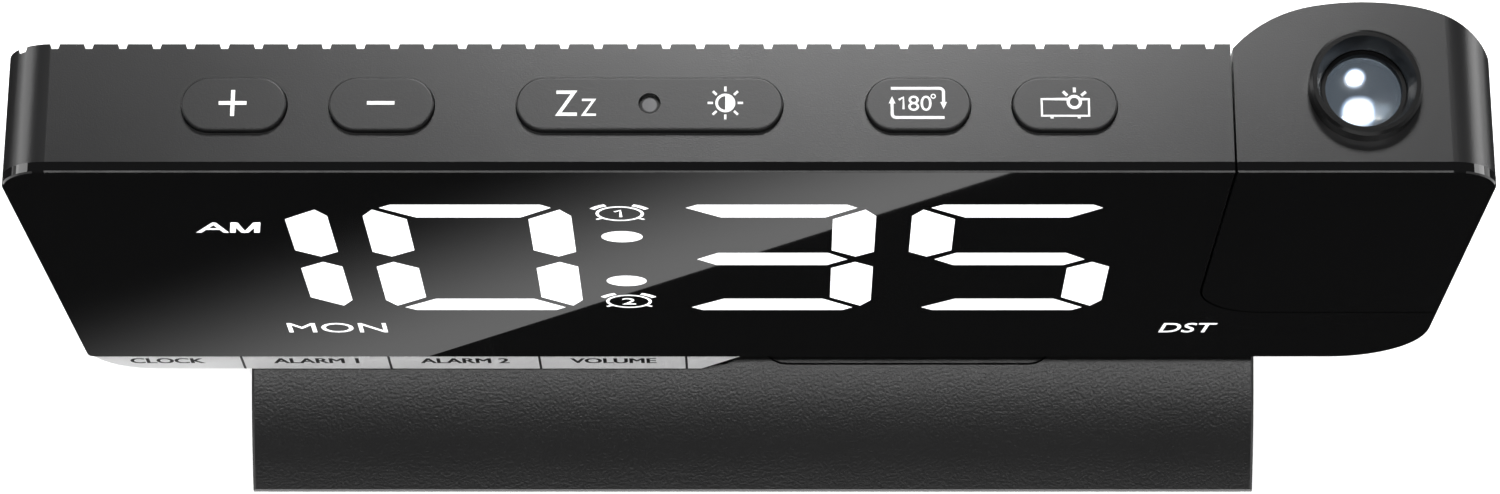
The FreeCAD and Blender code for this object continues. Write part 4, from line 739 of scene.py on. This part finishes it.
# Two bent arrows that chase each other round the half-turn figure
def makeTurnPrint():
    turn = prints["turn"]
    corner = turn["corner"]
    left, right, high, low = (turn[key] for key in ("left", "right", "high", "low"))
    x, y, wide, tall = turn["digits"]
    plates = [textPlate("80", x * mm, y * mm, tall * mm, wide * mm),
              ringPlate(*(value * mm for value in turn["degree"]))]
    oneHigh = (tall - turn["stroke"]) * mm
    one = figureOne(turn["one"] * mm, y * mm, oneHigh, turn["oneStroke"] * mm, prints["thick"])
    over = [(turn["topStart"], high)]
    over += arcPoints(right - corner, high - corner, corner, 90, 0) + [(right, turn["downTo"])]
    under = [(turn["lowStart"], low)]
    under += arcPoints(left + corner, low + corner, corner, 270, 180) + [(left, turn["upTo"])]
    half = turn["arrowHalf"]
    for middle, up, way in ((right, turn["downTo"], -1), (left, turn["upTo"], 1)):
        corners = [(middle - half, up), (middle + half, up), (middle, up + turn["arrowHigh"] * way)]
        plates.append(cutPlate([(cornerX * mm, cornerY * mm) for cornerX, cornerY in corners]))
    strokes = [one, printStroke(over, turn["stroke"]), printStroke(under, turn["stroke"])]
    layPrint(plates, strokes, "print_flip", "button_flip")


def makeBeamPrint():
    beam = prints["beam"]
    left, right, high, low = (beam[key] for key in ("left", "right", "high", "low"))
    ringX, ringY, radius, stroke = beam["ring"]
    reach = math.sqrt(radius ** 2 - (high - ringY) ** 2) - stroke / 2
    case = [(ringX - reach, high), (left, high), (left, low)]
    case += [(right, low), (right, high), (ringX + reach, high)]
    strokes = [printStroke(case, beam["stroke"])]
    for startX, startY, stopX, stopY in beam["rays"]:
        strokes.append(printStroke([(startX, startY), (stopX, stopY)], beam["stroke"]))
    for x in beam["feet"]:
        strokes.append(printStroke([(x, low), (x, low - beam["footDown"])], beam["stroke"]))
    plates = [ringPlate(*(value * mm for value in beam["ring"]))]
    layPrint(plates, strokes, "print_projector", "button_projector")


makeCountPrints()
makeSleepPrint()
makeTurnPrint()
makeBeamPrint()

# Label strip: one word above each rear key, struck twice to make it bolder, and the lines between
strip = {
    "words": [("CLOCK", -84.2), ("ALARM 1", -62.8), ("ALARM 2", -41.4), ("VOLUME", -20.0)],
    "lines": [-73.4, -52.25, -30.6, -9.5], "low": 11.6, "lineWide": 0.35, "wordUp": 15.3, "wordHigh": 2.2,
    "bold": 0.1}


def makeStripPrint():
    plates = [textPlate(words, (x + side * strip["bold"]) * mm, strip["wordUp"] * mm, strip["wordHigh"] * mm)
              for words, x in strip["words"] for side in (-1, 1)]
    low = strip["low"] * mm
    for x in strip["lines"]:
        plates.append(squarePlate(x * mm, (low + bodyFloor) / 2, strip["lineWide"] * mm, bodyFloor - low))
    piece = layPlates(plates, "strip_print", prints["thick"], (0, stripFace - prints["lift"], 0), True)
    finishPiece(piece, materials["printDark"], "clock_body")


makeStripPrint()
print("printed signs laid")

# Dark seam round each neck, where it comes up through the foot, in millimetres
seam = {"places": [-22.5, 22.5], "halfLength": 21.35, "halfDepth": 6.85, "corner": 3.75, "wide": 0.3,
        "above": 12.0}


def makeSeams():
    shell = nodes["stand_shell"]
    toShell = shell.matrix_world.inverted()
    beads = []
    for place in seam["places"]:
        points = []
        for across, along, start in ((1, 1, 0), (-1, 1, 90), (-1, -1, 180), (1, -1, 270)):
            x = place + across * (seam["halfLength"] - seam["corner"])
            y = along * (seam["halfDepth"] - seam["corner"])
            points += arcPoints(x, y, seam["corner"], start, start + 90)
        laid = []
        for x, y in points:
            high = Vector((x, y, seam["above"])) * mm
            spot = shell.closest_point_on_mesh(toShell @ high)[1]
            laid.append((x * mm, y * mm, (shell.matrix_world @ spot).z))
        beads.append(beadAlong(laid, seam["wide"] * mm, True))
    piece = joinPieces(beads, "neck_seams")
    finishPiece(piece, materials["seamBlack"], "clock_body")


makeSeams()

# Camera at the photograph's angle
camera = {"place": (0.00369, -0.19005, 0.57548), "tilt": 19.59, "lens": 98.16, "sensor": 36,
          "shift": -0.0187, "nearest": 0.01}


def makeCamera():
    deselectAll()
    bpy.ops.object.camera_add(location=camera["place"], rotation=(math.radians(camera["tilt"]), 0, 0))
    view = bpy.context.object
    view.data.lens = camera["lens"]
    view.data.sensor_width = camera["sensor"]
    view.data.shift_x = camera["shift"]
    view.data.clip_start = camera["nearest"]
    bpy.context.scene.camera = view


makeCamera()

# Floor and the low wall round it: pale, seen white, and still showing the shadow
floorLook = {"size": 8.0, "color": (0.82, 0.82, 0.82, 1), "roughness": 0.9, "seen": (0.7, 0.7, 0.7, 1),
             "wallReach": 3.8, "wallHigh": 1.0, "wallSides": 96}


def makeFloor():
    deselectAll()
    bpy.ops.mesh.primitive_plane_add(size=floorLook["size"], location=(0, 0, 0))
    floor = bpy.context.object
    floor.name = "floor"
    material, tree, shader = newMaterial("paleFloor")
    shader.inputs["Base Color"].default_value = floorLook["color"]
    shader.inputs["Roughness"].default_value = floorLook["roughness"]
    shader.inputs["Emission Color"].default_value = floorLook["seen"]
    path = newNode(tree, "ShaderNodeLightPath", (-900, 0))
    first = newNode(tree, "ShaderNodeMath", (-700, 0), operation="MAXIMUM")
    second = newNode(tree, "ShaderNodeMath", (-500, 0), operation="MAXIMUM")
    tree.links.new(path.outputs["Is Camera Ray"], first.inputs[0])
    tree.links.new(path.outputs["Is Glossy Ray"], first.inputs[1])
    tree.links.new(first.outputs[0], second.inputs[0])
    tree.links.new(path.outputs["Is Transmission Ray"], second.inputs[1])
    tree.links.new(second.outputs[0], shader.inputs["Emission Strength"])
    floor.data.materials.append(material)
    bpy.ops.mesh.primitive_cylinder_add(
        vertices=floorLook["wallSides"], radius=floorLook["wallReach"], depth=floorLook["wallHigh"],
        end_fill_type="NOTHING", location=(0, 0, floorLook["wallHigh"] / 2))
    wall = bpy.context.object
    wall.name = "backdrop"
    wall.data.materials.append(material)


makeFloor()


# Studio lamps: soft boxes behind and before the clock, strips at both ends and a front fill
lamps = {
    "deckBox": {"place": (0.03, 0.56, 0.86), "target": (0.02, 0, 0.094), "size": (0.26, 0.2),
                "power": 7.8},
    "crestBox": {"place": (0, -0.24, 0.95), "target": (0, -0.01, 0.01), "size": (1.2, 0.06),
                 "power": 5.2},
    "leftStrip": {"place": (-0.97, 0.36, 0.46), "target": (-0.09, 0, 0.09), "size": (0.3, 0.55),
                  "power": 2.4},
    "rightStrip": {"place": (0.97, 0.36, 0.3), "target": (0.09, 0, 0.09), "size": (0.3, 0.5),
                   "power": 2.4},
    "frontFill": {"place": (0, -1.15, 0.63), "target": (0, 0, 0.03), "size": (1.2, 0.2),
                  "power": 3.2}}


def makeLamps():
    for name, lamp in lamps.items():
        deselectAll()
        bpy.ops.object.light_add(type="AREA", location=lamp["place"])
        light = bpy.context.object
        light.name = name
        light.data.shape = "RECTANGLE"
        light.data.size, light.data.size_y = lamp["size"]
        light.data.energy = lamp["power"]
        way = Vector(lamp["target"]) - Vector(lamp["place"])
        light.rotation_euler = way.to_track_quat("-Z", "Y").to_euler()


makeLamps()

# Card over the foot that only the glossy panel mirrors: dark, with a pale part behind a slanted edge
card = {"up": 0.0125, "near": -0.0092, "far": -0.075, "half": 0.125,
        "edgeNear": -0.052, "edgeFar": 0.0355, "edgeEnd": -0.0385,
        "fade": 0.087, "bend": 1.6, "nearLevel": 0.62, "farLevel": 0.86, "dark": 0.02}


# A stage card that only glossy surfaces show
def keepForMirrors(piece):
    for flag in ("visible_camera", "visible_diffuse", "visible_shadow", "visible_transmission"):
        setattr(piece, flag, False)


def makePanelCard():
    deselectAll()
    bpy.ops.mesh.primitive_plane_add(size=1, location=(0, (card["near"] + card["far"]) / 2, card["up"]))
    piece = bpy.context.object
    piece.name = "panelCard"
    piece.scale = (card["half"] * 2, card["near"] - card["far"], 1)
    applyPlace(piece)
    material, tree, shader = newMaterial("panelCard")
    tree.nodes.remove(shader)
    place = newNode(tree, "ShaderNodeTexCoord", (-1300, 0))
    split = newNode(tree, "ShaderNodeSeparateXYZ", (-1100, 0))
    tree.links.new(place.outputs["Object"], split.inputs[0])
    slope = newNode(tree, "ShaderNodeMapRange", (-900, -200), clamp=False)
    slope.inputs["From Min"].default_value = card["near"]
    slope.inputs["From Max"].default_value = card["edgeEnd"]
    slope.inputs["To Min"].default_value = card["edgeNear"]
    slope.inputs["To Max"].default_value = card["edgeFar"]
    tree.links.new(split.outputs["Y"], slope.inputs["Value"])
    inside = newNode(tree, "ShaderNodeMath", (-700, 0), operation="SUBTRACT")
    tree.links.new(slope.outputs["Result"], inside.inputs[0])
    tree.links.new(split.outputs["X"], inside.inputs[1])
    share = newNode(tree, "ShaderNodeMapRange", (-500, 0), interpolation_type="SMOOTHSTEP")
    share.inputs["From Min"].default_value = 0
    share.inputs["From Max"].default_value = card["fade"]
    share.inputs["To Min"].default_value = 1
    share.inputs["To Max"].default_value = 0
    tree.links.new(inside.outputs[0], share.inputs["Value"])
    bent = newNode(tree, "ShaderNodeMath", (-300, 100), operation="POWER")
    bent.inputs[1].default_value = card["bend"]
    tree.links.new(share.outputs["Result"], bent.inputs[0])
    side = newNode(tree, "ShaderNodeMath", (-500, -250), operation="GREATER_THAN")
    side.inputs[1].default_value = 0
    tree.links.new(inside.outputs[0], side.inputs[0])
    lit = newNode(tree, "ShaderNodeMath", (-100, 0), operation="MULTIPLY")
    tree.links.new(bent.outputs[0], lit.inputs[0])
    tree.links.new(side.outputs[0], lit.inputs[1])
    level = newNode(tree, "ShaderNodeMapRange", (-500, -500))
    level.inputs["From Min"].default_value = card["near"]
    level.inputs["From Max"].default_value = card["edgeEnd"]
    level.inputs["To Min"].default_value = card["nearLevel"]
    level.inputs["To Max"].default_value = card["farLevel"]
    tree.links.new(split.outputs["Y"], level.inputs["Value"])
    strength = newNode(tree, "ShaderNodeMath", (50, 0), operation="MULTIPLY_ADD")
    strength.inputs[2].default_value = card["dark"]
    tree.links.new(lit.outputs[0], strength.inputs[0])
    tree.links.new(level.outputs["Result"], strength.inputs[1])
    glow = newNode(tree, "ShaderNodeEmission", (200, 0))
    tree.links.new(strength.outputs[0], glow.inputs["Strength"])
    facing = newNode(tree, "ShaderNodeNewGeometry", (50, 250))
    clear = newNode(tree, "ShaderNodeBsdfTransparent", (200, -150))
    shown = newNode(tree, "ShaderNodeMixShader", (400, 0))
    tree.links.new(facing.outputs["Backfacing"], shown.inputs[0])
    tree.links.new(glow.outputs[0], shown.inputs[1])
    tree.links.new(clear.outputs[0], shown.inputs[2])
    tree.links.new(shown.outputs[0], tree.nodes["Material Output"].inputs["Surface"])
    piece.data.materials.append(material)
    keepForMirrors(piece)


makePanelCard()

# Dark cards on the floor behind both ends, mirrored by the rounded corners alone
floorCards = {"up": 0.001, "inner": 0.099, "near": -0.02, "far": 0.6, "color": (0.01, 0.01, 0.01, 1),
              "roughness": 0.9, "ends": [("leftCard", -1, 0.7), ("rightCard", 1, 0.3)]}


def makeFloorCards():
    material, tree, shader = newMaterial("darkCard")
    shader.inputs["Base Color"].default_value = floorCards["color"]
    shader.inputs["Roughness"].default_value = floorCards["roughness"]
    for name, side, outer in floorCards["ends"]:
        deselectAll()
        middle = (floorCards["inner"] + outer) / 2 * side, (floorCards["near"] + floorCards["far"]) / 2
        bpy.ops.mesh.primitive_plane_add(size=1, location=(*middle, floorCards["up"]))
        piece = bpy.context.object
        piece.name = name
        piece.scale = (outer - floorCards["inner"], floorCards["far"] - floorCards["near"], 1)
        applyPlace(piece)
        piece.data.materials.append(material)
        keepForMirrors(piece)


makeFloorCards()

sky = {"color": (1, 1, 1, 1), "strength": 0.12}


def makeSky():
    world = bpy.data.worlds.new("studio")
    bpy.context.scene.world = world
    world.use_nodes = True
    background = world.node_tree.nodes["Background"]
    background.inputs["Color"].default_value = sky["color"]
    background.inputs["Strength"].default_value = sky["strength"]


makeSky()
bpy.context.scene.view_settings.view_transform = "Standard"
print("studio lit")

deselectAll()
